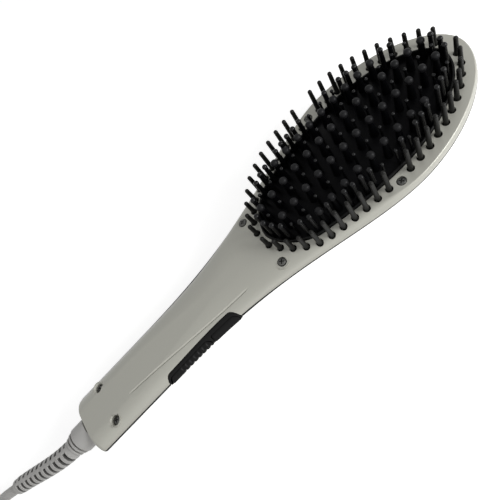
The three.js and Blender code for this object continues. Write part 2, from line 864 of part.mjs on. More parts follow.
function makeHeatingPlate() {
  const domeSteps = [1, 0.75, 0.42];
  const rings = domeSteps.map((s) => plateLoop.map((p) => new THREE.Vector3(
    plateCentreX + (p.x - plateCentreX) * s,
    p.y * s,
    plateEdgeZ + plateCrown * (1 - s * s),
  )));
  const foot = plateLoop.map((p) => new THREE.Vector3(p.x, p.y, plateBottomZ));
  let plate = solidOf(stack([foot, ...rings]));
  clampScrewPlaces.forEach(({ x, y }) => {
    const boss = postAt(x, y, clampTopZ + clearance, clampShankTopZ, clampBossRadius, 10);
    plate = plate.add(solidOf(boss));
  });
  teeth.forEach((place) => {
    plate = plate.add(solidOf(toothAt(place)));
  });
  pinRails(clearance).forEach((rail) => {
    plate = plate.subtract(rail);
  });
  pins.forEach(({ x, y }) => {
    const hole = postAt(x, y, plateBottomZ, plateTopZ(x, y) + 1, pinRadius + pinHoleMargin, 4);
    plate = plate.subtract(solidOf(hole));
  });
  clampScrewPlaces.forEach(({ x, y }) => {
    const top = clampShankTopZ + clearance;
    const hole = postAt(x, y, clampTopZ - 1, top, screwShankRadius + clearance, 6);
    plate = plate.subtract(solidOf(hole));
  });
  return plate;
}

// A tapered tooth with its cool cap moulded on
function toothAt({ x, y }) {
  const base = plateTopZ(x, y);
  const profile = [
    [0, base - 0.8],
    [toothBaseRadius, base - 0.8],
    [toothTopRadius, base + toothLength],
    [capRadius, base + toothLength + capLength / 2],
    [0, base + toothLength + capLength],
  ];
  const points = profile.map(([radius, z]) => new THREE.Vector2(radius, z));
  return new THREE.LatheGeometry(points, 5).rotateX(Math.PI / 2).translate(x, y, 0);
}

// Rails let into the plate's underside, one for each row of pins, and two that tie them together
function pinRails(margin) {
  const half = railWidth / 2 + margin;
  const top = plateBottomZ + railThickness + margin;
  const bottom = plateBottomZ - margin;
  const rows = [...new Set(pins.map(({ y }) => y))];
  const along = rows.map((y) => {
    const xs = pins.filter((pin) => pin.y === y).map(({ x }) => x);
    return boxBetween(
      [Math.min(...xs) - half, y - half, bottom],
      [Math.max(...xs) + half, y + half, top],
    );
  });
  const across = railTieColumns.map((column) => {
    const x = headWideX + latticeShiftX + column * toothPitch;
    return boxBetween([x - half, Math.min(...rows), bottom], [x + half, Math.max(...rows), top]);
  });
  const bosses = clampScrewPlaces.map(({ x, y }) => {
    return solidOf(postAt(x, y, bottom - 1, top + 1, clampBossRadius + clearance - margin, 10));
  });
  return [...along, ...across].map((rail) => {
    return bosses.reduce((rest, boss) => rest.subtract(boss), solidOf(rail));
  });
}

function makePinCarrier() {
  let carrier = pinRails(0).reduce((sum, rail) => sum.add(rail));
  pins.forEach(({ x, y }) => {
    const bottom = plateBottomZ + railThickness / 2;
    const top = plateTopZ(x, y) + pinLength;
    const profile = [
      [0, bottom],
      [pinRadius, bottom],
      [pinBallRadius, top - pinBallRadius],
      [0, top],
    ];
    const points = profile.map(([radius, z]) => new THREE.Vector2(radius, z));
    const pin = new THREE.LatheGeometry(points, 4).rotateX(Math.PI / 2).translate(x, y, 0);
    carrier = carrier.add(solidOf(pin));
  });
  return carrier;
}

// Frame that holds the plate in the front shell's opening
function makePlateSurround() {
  const lipOut = openingInset + clearance;
  const lipIn = lipOut + surroundLip;
  const section = [
    [lipOut - surroundFlange, surroundBottomZ],
    [lipOut - surroundFlange, surroundBottomZ + surroundFlangeThickness],
    [lipOut, surroundBottomZ + surroundFlangeThickness],
    [lipOut, surroundTopZ],
    [lipIn, surroundTopZ],
    [lipIn, ledgeTopZ],
    [lipIn + surroundLedge, ledgeTopZ],
    [lipIn + surroundLedge, surroundBottomZ],
  ];
  let frame = solidOf(hoop(section.map(([inset, z]) => headLoop(inset, z))));
  screwPlaces().forEach((place) => {
    const bottom = surroundBottomZ - 1;
    frame = frame.subtract(solidOf(postAt(place.x, place.y, bottom, ceilingZ, bossRoom, 10)));
  });
  return frame;
}

// Heater stack

function makeHeater() {
  return boxBetween(
    [heaterCentreX - heaterLength / 2, -heaterWidth / 2, heaterTopZ - heaterThickness],
    [heaterCentreX + heaterLength / 2, heaterWidth / 2, heaterTopZ],
  );
}

function makeInsulation() {
  const halfLength = heaterLength / 2 + insulationMargin - clearance;
  const halfSpan = heaterWidth / 2 + insulationMargin;
  return boxBetween(
    [heaterCentreX - halfLength, -halfSpan, insulationTopZ - insulationThickness],
    [heaterCentreX + halfLength, halfSpan, insulationTopZ],
  );
}

function makeClamp() {
  let bar = solidOf(boxBetween(
    [clampStartX, -clampWidth / 2, clampBottomZ],
    [heaterCentreX + clampReach + clampEnds, clampWidth / 2, clampTopZ],
  ));
  clampScrewPlaces.forEach(({ x, y }) => {
    const hole = postAt(x, y, clampBottomZ - 1, clampTopZ + 1, screwShankRadius + clearance, 6);
    bar = bar.subtract(solidOf(hole));
  });
  return bar;
}

// A pan-head screw with a cross in its head, pointing down from its seat
function screwDown(x, y, seat, length) {
  const seated = seat + clearance;
  const crown = screwHeadRadius * 0.86;
  const head = postAt(x, y, seated, seated + screwHeadHeight, screwHeadRadius, 8, crown);
  const shank = postAt(x, y, seat - length, seated + 0.2, screwShankRadius, 6);
  const armHalf = screwHeadRadius * 0.62;
  const slotZ = seated + screwHeadHeight * 0.45;
  const slots = [[armHalf, 0.28], [0.28, armHalf]].map(([dx, dy]) => boxBetween(
    [x - dx, y - dy, slotZ],
    [x + dx, y + dy, seated + screwHeadHeight + 1],
  ));
  let screw = solidOf(head).add(solidOf(shank));
  slots.forEach((slot) => {
    screw = screw.subtract(solidOf(slot));
  });
  return geometryOf(screw);
}

function makeHousingScrew(place) {
  return screwDown(place.x, place.y, seatZ(place), screwLength);
}

// A clamp screw points up into the plate
function makeClampScrew({ x, y }) {
  const screw = screwDown(0, 0, 0, clampShankTopZ - clampBottomZ);
  return screw.rotateX(Math.PI).translate(x, y, clampBottomZ);
}

function makeThermalFuse() {
  const z = clampBottomZ - clearance - fuseRadius;
  const startX = heaterCentreX - fuseLength / 2;
  return rodAlongX(startX, startX + fuseLength, clampWidth / 4, z, fuseRadius);
}

const sensorX = heaterCentreX + clampReach + clampBossRadius + 3;

function makeSensor() {
  return boxBetween(
    [sensorX, -sensorSize / 2, heaterTopZ - sensorSize / 2],
    [sensorX + sensorSize, sensorSize / 2, heaterTopZ],
  );
}

function makeHeatShield() {
  const top = shieldHeight + shieldThickness;
  return stack([headLoop(shieldInset, shieldHeight), headLoop(shieldInset, top)]);
}

// Control strip

const windowHalf = bezelHalf - stripRim;
const buttonHalf = windowHalf - clearance;
const splitX = stripEndX - stripRim - buttonLength;
const rockerStartX = stripStartX + stripRim;
const rockerEndX = splitX - stripRim;
const rockerCentreX = (rockerStartX + rockerEndX) / 2;
const buttonCentreX = (splitX + stripEndX - stripRim) / 2;
const capBackY = bezelBackY + 0.6;
const lugReachY = rockerPinY - 1.4;

function makeBezel() {
  const skin = wholeBody(stripProud);
  let bezel = solidOf(stripBar(stripStartX, stripEndX, bezelHalf, -wallReach, -bezelBackY)).intersect(skin);
  const rockerWindow = stripBar(rockerStartX, rockerEndX, windowHalf, -wallReach, 0);
  const buttonWindow = stripBar(splitX, stripEndX - stripRim, windowHalf, -wallReach, 0, 0.6);
  bezel = bezel.subtract(solidOf(rockerWindow)).subtract(solidOf(buttonWindow));
  const lugs = [-1, 1].map((side) => {
    const near = seamHeight + side * (bezelHalf - lugThickness);
    const far = seamHeight + side * bezelHalf;
    return boxBetween(
      [rockerCentreX - 2, -bezelBackY - 0.5, Math.min(near, far)],
      [rockerCentreX + 2, -lugReachY, Math.max(near, far)],
    );
  });
  lugs.forEach((lug) => {
    bezel = bezel.add(solidOf(lug));
  });
  const pinHole = postAt(
    rockerCentreX,
    -rockerPinY,
    seamHeight - bezelHalf - 1,
    seamHeight + bezelHalf + 1,
    rockerPinRadius + clearance / 3,
    8,
  );
  bezel = bezel.subtract(solidOf(pinHole));
  return addBezelTabs(bezel);
}

// Tabs past both ends of the strip that catch behind the housing wall
function addBezelTabs(bezel) {
  const innerSpace = wholeBody(-wall - clearance);
  const tabs = [
    [stripStartX - bezelTabLength, stripStartX + stripRim / 2],
    [stripEndX - stripRim / 2, stripEndX + bezelTabLength],
  ];
  let tabbed = bezel;
  tabs.forEach(([x0, x1]) => {
    const tab = boxBetween(
      [x0, -wallReach, seamHeight - bezelTabHeight / 2],
      [x1, -bezelBackY, seamHeight + bezelTabHeight / 2],
    );
    tabbed = tabbed.add(solidOf(tab).intersect(innerSpace));
  });
  return tabbed;
}

function makePowerButton() {
  const startX = splitX + clearance;
  const endX = stripEndX - stripRim - clearance;
  const cap = stripBar(startX, endX, buttonHalf, -wallReach, -capBackY, 0.6);
  let button = solidOf(cap).intersect(wholeBody(buttonProud));
  const neckHalf = buttonHalf - 0.6;
  const neck = stripBar(startX + 1.2, endX - 1.2, neckHalf, -capBackY - 1, -bezelBackY + 1, 0.6);
  const flange = stripBar(
    startX - 0.9,
    endX + 0.9,
    bezelHalf - 0.1,
    -bezelBackY + clearance,
    -bezelBackY + clearance + 1,
    0.6,
  );
  const stemEnd = switchPlungerY + buttonTravel + clearance;
  const stem = rodAlongY(buttonCentreX, -bezelBackY, -stemEnd, seamHeight, 1.2, 6);
  button = button.add(solidOf(neck)).add(solidOf(flange)).add(solidOf(stem));
  return button;
}

function makeRocker() {
  const cap = stripBar(
    rockerStartX + rockerEndGap,
    rockerEndX - rockerEndGap,
    buttonHalf,
    -wallReach,
    -capBackY,
  );
  let rocker = solidOf(cap).intersect(wholeBody(buttonProud));
  for (let i = 0; i <= rockerRibs; i += 1) {
    const x = rockerCentreX + rockerRibShift + (i - rockerRibs / 2) * rockerRibPitch;
    const surfaceY = halfWidth(x) + buttonProud;
    const groove = boxBetween(
      [x - rockerGrooveWidth / 2, -surfaceY - 2, seamHeight - bezelHalf],
      [x + rockerGrooveWidth / 2, -surfaceY + rockerGrooveDepth + 0.35, seamHeight + bezelHalf],
    );
    rocker = rocker.subtract(solidOf(groove));
  }
  const hubHalf = bezelHalf - lugThickness - clearance;
  const hub = boxBetween(
    [rockerCentreX - 2, -capBackY - 1, seamHeight - hubHalf],
    [rockerCentreX + 2, -lugReachY, seamHeight + hubHalf],
  );
  rocker = rocker.add(solidOf(hub));
  const stemTravel = rockerReach * Math.sin(THREE.MathUtils.degToRad(rockerTilt));
  const stemEnd = switchPlungerY + stemTravel + clearance;
  [-rockerReach, rockerReach].forEach((reach) => {
    const stem = rodAlongY(rockerCentreX + reach, -capBackY - 1, -stemEnd, seamHeight, 1.2, 6);
    rocker = rocker.add(solidOf(stem));
  });
  const hole = postAt(
    rockerCentreX,
    -rockerPinY,
    seamHeight - bezelHalf,
    seamHeight + bezelHalf,
    rockerPinRadius + clearance,
    10,
  );
  return rocker.subtract(solidOf(hole));
}

function makeRockerPin() {
  const half = bezelHalf - 0.05;
  return postAt(rockerCentreX, -rockerPinY, seamHeight - half, seamHeight + half, rockerPinRadius, 8);
}

// Switch board

const switchBoardStartX = rockerCentreX - rockerReach - switchBodySize;
const switchBoardEndX = stripEndX - 1;
const switchBoardBottomZ = seamHeight - bezelHalf - 4;
const switchPlungerY = switchBoardY + clearance + switchBodyDepth + 0.9;

function makeSwitchBoard() {
  return boxBetween(
    [switchBoardStartX, -switchBoardY, switchBoardBottomZ],
    [switchBoardEndX, -switchBoardY + switchBoardThickness, switchBoardBottomZ + switchBoardHeight],
  );
}

const switchXs = [rockerCentreX - rockerReach, rockerCentreX + rockerReach, buttonCentreX];

function makeSwitch(x) {
  const half = switchBodySize / 2;
  const nearY = -switchBoardY - clearance;
  const frontY = nearY - switchBodyDepth;
  const body = boxBetween(
    [x - half, frontY, seamHeight - half],
    [x + half, nearY, seamHeight + half],
  );
  const plunger = rodAlongY(x, -switchPlungerY, frontY + 0.3, seamHeight, switchPlungerRadius, 6);
  return solidOf(body).add(solidOf(plunger));
}

// Control board and what is soldered on it

const boardTopZ = boardHeight + boardThickness;
const boardScrewShank = 0.9;
const boardScrewHead = 2;

function boardScrewPlaces() {
  const posts = boardPosts();
  return [posts[0], posts[3]];
}

function makeControlBoard() {
  let board = solidOf(boxBetween(
    [boardStartX, -boardWidth / 2, boardHeight],
    [boardStartX + boardLength, boardWidth / 2, boardTopZ],
  ));
  boardScrewPlaces().forEach(([x, y]) => {
    const hole = postAt(x, y, boardHeight - 1, boardTopZ + 1, boardScrewShank + clearance, 8);
    board = board.subtract(solidOf(hole));
  });
  return board;
}

function makeBoardScrew([x, y]) {
  const seat = boardTopZ + clearance;
  const head = postAt(x, y, seat, seat + 1.4, boardScrewHead, 10, boardScrewHead * 0.85);
  const shank = postAt(x, y, wall + 0.5, seat + 0.2, boardScrewShank, 6);
  return solidOf(head).add(solidOf(shank));
}

// Places on the board are counted from its corner at the handle end, on the right-hand side
function onBoard(dx, dy, dz) {
  return [boardStartX + dx, -boardWidth / 2 + dy, boardTopZ + clearance + dz];
}

function makeTriac() {
  const body = boxBetween(onBoard(19, 2, 0), onBoard(29, 6.5, 7));
  const tab = boxBetween(onBoard(19, 5.2, 6.5), onBoard(29, 6.5, 11));
  const [eyeX, eyeY, eyeZ] = onBoard(24, 4, 9.3);
  const eye = rodAlongY(eyeX, eyeY, eyeY + 4, eyeZ, 1.5, 10);
  return solidOf(body).add(solidOf(tab)).subtract(solidOf(eye));
}

function makeBoardParts() {
  addPiece('film_capacitor', boxBetween(onBoard(3, 1, 0), onBoard(16, 6.4, 9)), 'filmYellow');
  const [capX, capY, capZ] = onBoard(12, 11.2, 0);
  addPiece('smoothing_capacitor', postAt(capX, capY, capZ, capZ + 11, 4, 12), 'component');
  addPiece('triac', makeTriac(), 'component');
  addPiece('control_chip', boxBetween(onBoard(21, 7.6, 0), onBoard(31, 12.6, 1.6)), 'component');
  const connector = boxBetween(
    onBoard(connectorStart, 6.2, 0),
    onBoard(connectorEnd, 15.5, connectorHeight),
  );
  addPiece('wire_connector', connector, 'ceramic');
  const [fuseX, fuseY, fuseZ] = onBoard(19, 15.9, 2.2);
  addPiece('mains_fuse', rodAlongX(fuseX, fuseX + 12, fuseY, fuseZ, 2.2, 10), 'brightSteel');
}

// Leads inside the housing

const leadRunZ = 8;

function makeMainsLead(count) {
  const startX = contactBlockEndX + clearance;
  const y = 3 * count;
  const end = onBoard(5, 8.2 + 2.1 * count, 0.9);
  return tubeAlong([
    [startX, y - 1.5, contactBlockTop - 2],
    [startX + 16, y, leadRunZ],
    [boardStartX - 20, y + 1, leadRunZ],
    [boardStartX - 8, (y + end[1]) / 2, boardHeight],
    [boardStartX - 2, end[1], end[2]],
    end,
  ], 0.9, 5, 15);
}

function makeHeaterLead(side) {
  const z = heaterTopZ - heaterThickness / 2;
  const endX = heaterCentreX - heaterLength / 2 - clearance;
  const start = onBoard(connectorEnd + clearance, boardWidth / 2 + 1.4 + side * 3, 4.5);
  return tubeAlong([
    start,
    [start[0] + 4, start[1], start[2] + 1],
    [clampStartX - 6, side * 3, z - 4],
    [clampStartX - 1, side * 2, z - 0.5],
    [endX, side * 2, z],
  ], 0.75, 5, 10);
}

function makeSensorLead() {
  const z = heaterTopZ - sensorSize / 4;
  const start = onBoard(connectorEnd + clearance, boardWidth / 2 - 2, 1.8);
  const side = -clampWidth / 2 - 4;
  return tubeAlong([
    start,
    [start[0] + 6, start[1] - 3, start[2] + 2],
    [heaterCentreX - heaterLength / 2 - 12, side, clampBottomZ - 2],
    [heaterCentreX, side, clampBottomZ - 2],
    [heaterCentreX + clampReach - 4, side, clampBottomZ - 1],
    [sensorX, -clampWidth / 2, z - 1],
    [sensorX + sensorSize / 2, -sensorSize / 2 - 3, z],
    [sensorX + sensorSize / 2, -sensorSize / 2 - clearance, z],
  ], 0.6, 5, 18);
}

function makeSwitchLead() {
  const y = -switchBoardY + switchBoardThickness / 2;
  const end = onBoard(3.2, boardWidth / 2 + y + 3.3, 0.9);
  return tubeAlong([
    [switchBoardEndX + 1, y, seamHeight - 5],
    [switchBoardEndX + 2, y, seamHeight - 6],
    [boardStartX + 0.8, end[1], end[2] + 1.5],
    end,
  ], 0.8, 5, 8);
}

// Swivelling cord outlet

const flangeStartX = wall + clearance;
const spindleStartX = flangeStartX + collarFlangeThickness;
const firstRingX = spindleStartX + 2;
const contactBlockStartX = firstRingX - 1;
const contactBlockEndX = firstRingX + slipRingSpacing + slipRingWidth + 1;

function makeCollar() {
  const step = collarRadius * 0.11;
  const groove = step * 0.9;
  const profile = [
    [-collarLength, 0],
    [-collarLength, collarRadius - 2.1 * step],
    [-collarLength + 1.8, collarRadius - 2.1 * step],
    [-collarLength + 1.8, collarRadius - 2.1 * step - groove],
    [-collarLength + 2.6, collarRadius - 2.1 * step - groove],
    [-collarLength + 2.6, collarRadius - step],
    [-collarLength + 4.6, collarRadius - step],
    [-collarLength + 4.6, collarRadius - step - groove],
    [-collarLength + 5.4, collarRadius - step - groove],
    [-collarLength + 5.4, collarRadius],
    [-clearance, collarRadius],
    [-clearance, collarNeckRadius],
    [flangeStartX, collarNeckRadius],
    [flangeStartX, collarFlangeRadius],
    [spindleStartX, collarFlangeRadius],
    [spindleStartX, collarSpindleRadius],
    [spindleStartX + collarSpindleLength, collarSpindleRadius],
    [spindleStartX + collarSpindleLength, 0],
  ];
  return solidOf(turnedAlongX(profile, 0, collarHeight, 14));
}

function makeSlipRing(shift) {
  const inner = collarSpindleRadius + clearance;
  const x = firstRingX + shift;
  const profile = [
    [x, inner],
    [x, slipRingRadius],
    [x + slipRingWidth, slipRingRadius],
    [x + slipRingWidth, inner],
    [x, inner],
  ];
  return solidOf(turnedAlongX(profile, 0, collarHeight, 12));
}

function makeContactBlock() {
  const block = boxBetween([contactBlockStartX, -4, wall], [contactBlockEndX, 4, contactBlockTop]);
  return solidOf(block).intersect(rearBody(wall + clearance, 0));
}

function makeContactSpring(shift) {
  const top = collarHeight - slipRingRadius - clearance;
  const x = firstRingX + slipRingWidth / 2 + shift;
  return boxBetween([x - 0.7, -1.2, contactBlockTop + clearance], [x + 0.7, 1.2, top]);
}

// Mains cord: ribbed strain relief, free stretch, coil, tie and plug

const bootStart = new THREE.Vector3(-collarLength - clearance, 0, collarHeight);

const bootPath = new THREE.CubicBezierCurve3(
  bootStart,
  new THREE.Vector3(-30.2, 0, collarHeight),
  new THREE.Vector3(-47.2, 8.6, 13),
  bootEnd,
);

// A round section square to the path, with a fixed sense of up
function sectionAt(path, t, radius, sides) {
  const centre = path.getPointAt(t);
  const along = path.getTangentAt(t);
  const across = new THREE.Vector3(0, 0, 1).cross(along).normalize();
  const up = along.clone().cross(across).normalize();
  const ring = [];
  for (let j = 0; j < sides; j += 1) {
    const angle = (j / sides) * Math.PI * 2;
    const offset = across.clone().multiplyScalar(radius * Math.cos(angle));
    ring.push(centre.clone().add(offset).add(up.clone().multiplyScalar(radius * Math.sin(angle))));
  }
  return ring;
}

// Sections joined along a path, closed with a fan at each end
function sleeve(rings) {
  const count = rings[0].length;
  const points = rings.flat();
  const index = [];
  for (let k = 0; k < rings.length - 1; k += 1) {
    index.push(...bandFaces(count, k * count, (k + 1) * count));
  }
  const centreOf = (ring) => ring.reduce((sum, p) => sum.add(p), new THREE.Vector3()).divideScalar(count);
  points.push(centreOf(rings[0]), centreOf(rings[rings.length - 1]));
  const last = (rings.length - 1) * count;
  for (let j = 0; j < count; j += 1) {
    const next = (j + 1) % count;
    index.push(points.length - 2, next, j);
    index.push(points.length - 1, last + j, last + next);
  }
  return surfaceOf(points, index);
}

function makeStrainRelief() {
  const rings = [];
  const plain = 0.04;
  rings.push(sectionAt(bootPath, 0, bootBaseRadius, 8));
  for (let i = 0; i < bootRibs; i += 1) {
    const start = plain + ((1 - 2 * plain) * i) / bootRibs;
    const middle = plain + ((1 - 2 * plain) * (i + 0.5)) / bootRibs;
    const radius = (t) => bootBaseRadius + (bootEndRadius - bootBaseRadius) * t;
    rings.push(sectionAt(bootPath, start, radius(start) - bootRibDepth, 8));
    rings.push(sectionAt(bootPath, middle, radius(middle), 8));
  }
  rings.push(sectionAt(bootPath, 1 - plain, bootEndRadius - bootRibDepth, 8));
  rings.push(sectionAt(bootPath, 1, bootEndRadius - bootRibDepth * 0.5, 8));
  return sleeve(rings);
}

const coilEntry = [coilCentreX + cordDiameter, coilCentreY + coilOuterRadius, coilLowZ];
const bootHeading = bootPath.getTangentAt(1);
const cordStart = bootEnd.clone().add(bootHeading.clone().multiplyScalar(clearance));

const cordRoute = [
  cordStart.toArray(),
  cordStart.clone().add(bootHeading.clone().multiplyScalar(10)).toArray(),
  [-86.2, 20, 4.6],
  [-101.2, 26.5, 3.3],
  [-118.2, 33.5, 3.3],
  [coilEntry[0] + 8, coilEntry[1], coilEntry[2] - 0.2],
  [coilEntry[0] + clearance, coilEntry[1], coilEntry[2]],
];

// Centre line of the coil: in along the floor, up at the middle, and out again on top
function coilPoint(turn) {
  const climbTurns = 0.5;
  const climbed = Math.min(Math.max((turn - coilSpiralTurns) / climbTurns, 0), 1);
  const lift = smooth(climbed);
  let radius = coilInnerRadius - coilDip * Math.sin(Math.PI * climbed);
  if (turn < coilSpiralTurns) {
    radius = coilOuterRadius - coilTurnPitch * turn;
  }
  if (turn > coilSpiralTurns + climbTurns) {
    radius = coilInnerRadius + coilTurnPitch * (turn - coilSpiralTurns - climbTurns);
  }
  const angle = Math.PI / 2 + turn * Math.PI * 2;
  return new THREE.Vector3(
    coilCentreX + radius * Math.cos(angle),
    coilCentreY + radius * Math.sin(angle),
    coilLowZ + coilTurnPitch * lift,
  );
}

function coilLine() {
  const turns = 2 * coilSpiralTurns + 0.5;
  const steps = Math.round(turns * coilStepsPerTurn);
  const points = [new THREE.Vector3(...coilEntry)];
  for (let i = 0; i <= steps; i += 1) {
    points.push(coilPoint((turns * i) / steps));
  }
  const last = points[points.length - 1];
  points.push(new THREE.Vector3(last.x + cordDiameter, last.y, last.z));
  return points;
}

const coilPoints = coilLine();
const coilExit = coilPoints[coilPoints.length - 1];

function leastCoilGap() {
  let least = Infinity;
  const apart = Math.round(coilStepsPerTurn * 0.6);
  coilPoints.forEach((p, i) => {
    for (let j = i + apart; j < coilPoints.length - 1; j += 1) {
      const a = coilPoints[j];
      const b = coilPoints[j + 1];
      const near = new THREE.Line3(a, b).closestPointToPoint(p, true, new THREE.Vector3());
      least = Math.min(least, near.distanceTo(p) - cordDiameter);
    }
  });
  return least;
}

function lengthOf(points) {
  return points.slice(1).reduce((sum, p, i) => sum + p.distanceTo(points[i]), 0);
}

function makeCoil() {
  const rings = coilPoints.map((p, i) => {
    const before = coilPoints[Math.max(i - 1, 0)];
    const after = coilPoints[Math.min(i + 1, coilPoints.length - 1)];
    const along = after.clone().sub(before).normalize();
    if (i === 0 || i === coilPoints.length - 1) {
      along.set(i === 0 ? -1 : 1, 0, 0);
    }
    const across = new THREE.Vector3(0, 0, 1).cross(along).normalize();
    const up = along.clone().cross(across);
    const ring = [];
    for (let j = 0; j < coilSides; j += 1) {
      const angle = ((j + 0.5) / coilSides) * Math.PI * 2;
      const offset = across.clone().multiplyScalar(cordRadius * Math.cos(angle));
      ring.push(p.clone().add(offset).add(up.clone().multiplyScalar(cordRadius * Math.sin(angle))));
    }
    return ring;
  });
  return sleeve(rings);
}

function makeTie() {
  const quarterTurn = 0.25;
  const innerEdge = coilInnerRadius + coilTurnPitch * quarterTurn - cordRadius - tieSlack;
  const outerEdge = coilOuterRadius - coilTurnPitch * quarterTurn + cordRadius + tieSlack;
  const lowEdge = coilLowZ - cordRadius - tieGap;
  const highEdge = coilLowZ + coilTurnPitch + cordRadius + tieGap;
  const half = tieWidth / 2;
  const outer = boxBetween(
    [coilCentreX - outerEdge - tieThickness, coilCentreY - half, lowEdge - tieThickness],
    [coilCentreX - innerEdge + tieThickness, coilCentreY + half, highEdge + tieThickness],
  );
  const room = boxBetween(
    [coilCentreX - outerEdge, coilCentreY - half - 1, lowEdge],
    [coilCentreX - innerEdge, coilCentreY + half + 1, highEdge],
  );
  return solidOf(outer).subtract(solidOf(room));
}

const plugZ = plugThickness / 2;
const plugRearX = coilExit.x + plugLeadLength;
const plugY = coilExit.y - 4;
const plugFaceX = plugRearX + plugBootLength + plugLength;

const plugLeadRoute = [
  [coilExit.x + clearance, coilExit.y, coilExit.z],
  [coilExit.x + 7, coilExit.y, coilExit.z - 0.1],
  [coilExit.x + plugLeadLength * 0.45, coilExit.y - 1.6, coilExit.z - 1.4],
  [plugRearX - 9, plugY, plugZ + 0.1],
  [plugRearX - clearance, plugY, plugZ],
];

function makePlugBody() {
  const shape = new THREE.Shape();
  const rear = plugRearX + plugBootLength - 1;
  shape.moveTo(rear, -plugRearWidth / 2);
  shape.lineTo(rear + plugLength * 0.45, -plugWidth / 2 + 2.5);
  shape.lineTo(plugFaceX - 3, -plugWidth / 2);
  shape.lineTo(plugFaceX, -plugWidth / 2 + 1.5);
  shape.lineTo(plugFaceX, plugWidth / 2 - 1.5);
  shape.lineTo(plugFaceX - 3, plugWidth / 2);
  shape.lineTo(rear + plugLength * 0.45, plugWidth / 2 - 2.5);
  shape.lineTo(rear, plugRearWidth / 2);
  shape.closePath();
  const bevel = 1.4;
  const body = new THREE.ExtrudeGeometry(shape, {
    depth: plugThickness - 2 * bevel,
    bevelEnabled: true,
    bevelThickness: bevel,
    bevelSize: bevel,
    bevelOffset: -bevel,
    bevelSegments: 1,
  }).translate(0, plugY, bevel);
  const boot = turnedAlongX([
    [plugRearX, 0],
    [plugRearX, cordRadius + 0.9],
    [rear + 4, cordRadius + 2.6],
    [rear + 4, 0],
  ], plugY, plugZ, 12);
  return solidOf(body).add(solidOf(boot));
}

function makePlugPin(side) {
  const startX = plugFaceX + clearance;
  const y = plugY + (side * plugPinSpacing) / 2;
  return rodAlongX(startX, startX + plugPinLength, y, plugZ, plugPinRadius, 12);
}

// The whole brush

addPiece('rear_shell', makeRearShell(), 'housing');
addPiece('front_shell', makeFrontShell(), 'housing');
addPiece('rim_bristles_neck', makeRimStrip(false), 'rimPlastic');
addPiece('rim_bristles_tip', makeRimStrip(true), 'rimPlastic');
addPiece('plate_surround', makePlateSurround(), 'controlPlastic');
addPiece('heating_plate', makeHeatingPlate(), 'blackCoat');
addPiece('pin_carrier', makePinCarrier(), 'rimPlastic');
addPiece('heater_element', makeHeater(), 'ceramic');
addPiece('heater_insulation', makeInsulation(), 'mica');
addPiece('heater_clamp', makeClamp(), 'brightSteel');
addCopies('clamp_screw', clampScrewPlaces, makeClampScrew, 'brightSteel');
addPiece('thermal_fuse', makeThermalFuse(), 'brightSteel');
addPiece('temperature_sensor', makeSensor(), 'component');
addPiece('heat_shield', makeHeatShield(), 'mica');
addCopies('housing_screw', screwPlaces(), makeHousingScrew, 'darkSteel');
addPiece('control_bezel', makeBezel(), 'controlPlastic');
addPiece('power_button', makePowerButton(), 'controlPlastic');
addPiece('temperature_rocker', makeRocker(), 'controlPlastic');
addPiece('rocker_pin', makeRockerPin(), 'brightSteel');
addPiece('switch_board', makeSwitchBoard(), 'board');
addCopies('tact_switch', switchXs, makeSwitch, 'component');
addPiece('control_board', makeControlBoard(), 'board');
addCopies('board_screw', boardScrewPlaces(), makeBoardScrew, 'brightSteel');
makeBoardParts();
addCopies('mains_lead', [1, 2], makeMainsLead, 'leadRed');
addCopies('heater_lead', [-1, 1], makeHeaterLead, 'ceramic');
addPiece('sensor_lead', makeSensorLead(), 'component');
addPiece('switch_lead', makeSwitchLead(), 'component');
addPiece('swivel_collar', makeCollar(), 'cordPlastic');
addCopies('slip_ring', [0, slipRingSpacing], makeSlipRing, 'brass');
addPiece('contact_block', makeContactBlock(), 'component');
addCopies('contact_spring', [0, slipRingSpacing], makeContactSpring, 'brass');
addPiece('strain_relief', makeStrainRelief(), 'cordPlastic');
addPiece('power_cord', tubeAlong(cordRoute, cordRadius, cordSides, 14), 'cordPlastic');
addPiece('cord_coil', makeCoil(), 'cordPlastic');
addPiece('cord_tie', makeTie(), 'controlPlastic');
addPiece('plug_lead', tubeAlong(plugLeadRoute, cordRadius, cordSides, 8), 'cordPlastic');
addPiece('plug_body', makePlugBody(), 'cordPlastic');
addCopies('plug_pin', [-1, 1], makePlugPin, 'brass');

// The origin goes under the middle of the brush, measured from the collar's end to the head's tip
brush.position.x = -(bodyLength - collarLength) / 2;
brush.updateMatrixWorld(true);

console.log(`Coil: least gap between its turns ${leastCoilGap().toFixed(2)} mm`);
console.log(`Coil: length ${lengthOf(coilPoints).toFixed(0)} mm`);
console.log(`Teeth ${teeth.length}, pins ${pins.length}, rim bristles ${rimPlaces().length}`);

export default brush;
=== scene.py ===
import json
from math import cos, floor, hypot, pi, radians, sin

import bmesh
import bpy
from mathutils import Matrix, Vector


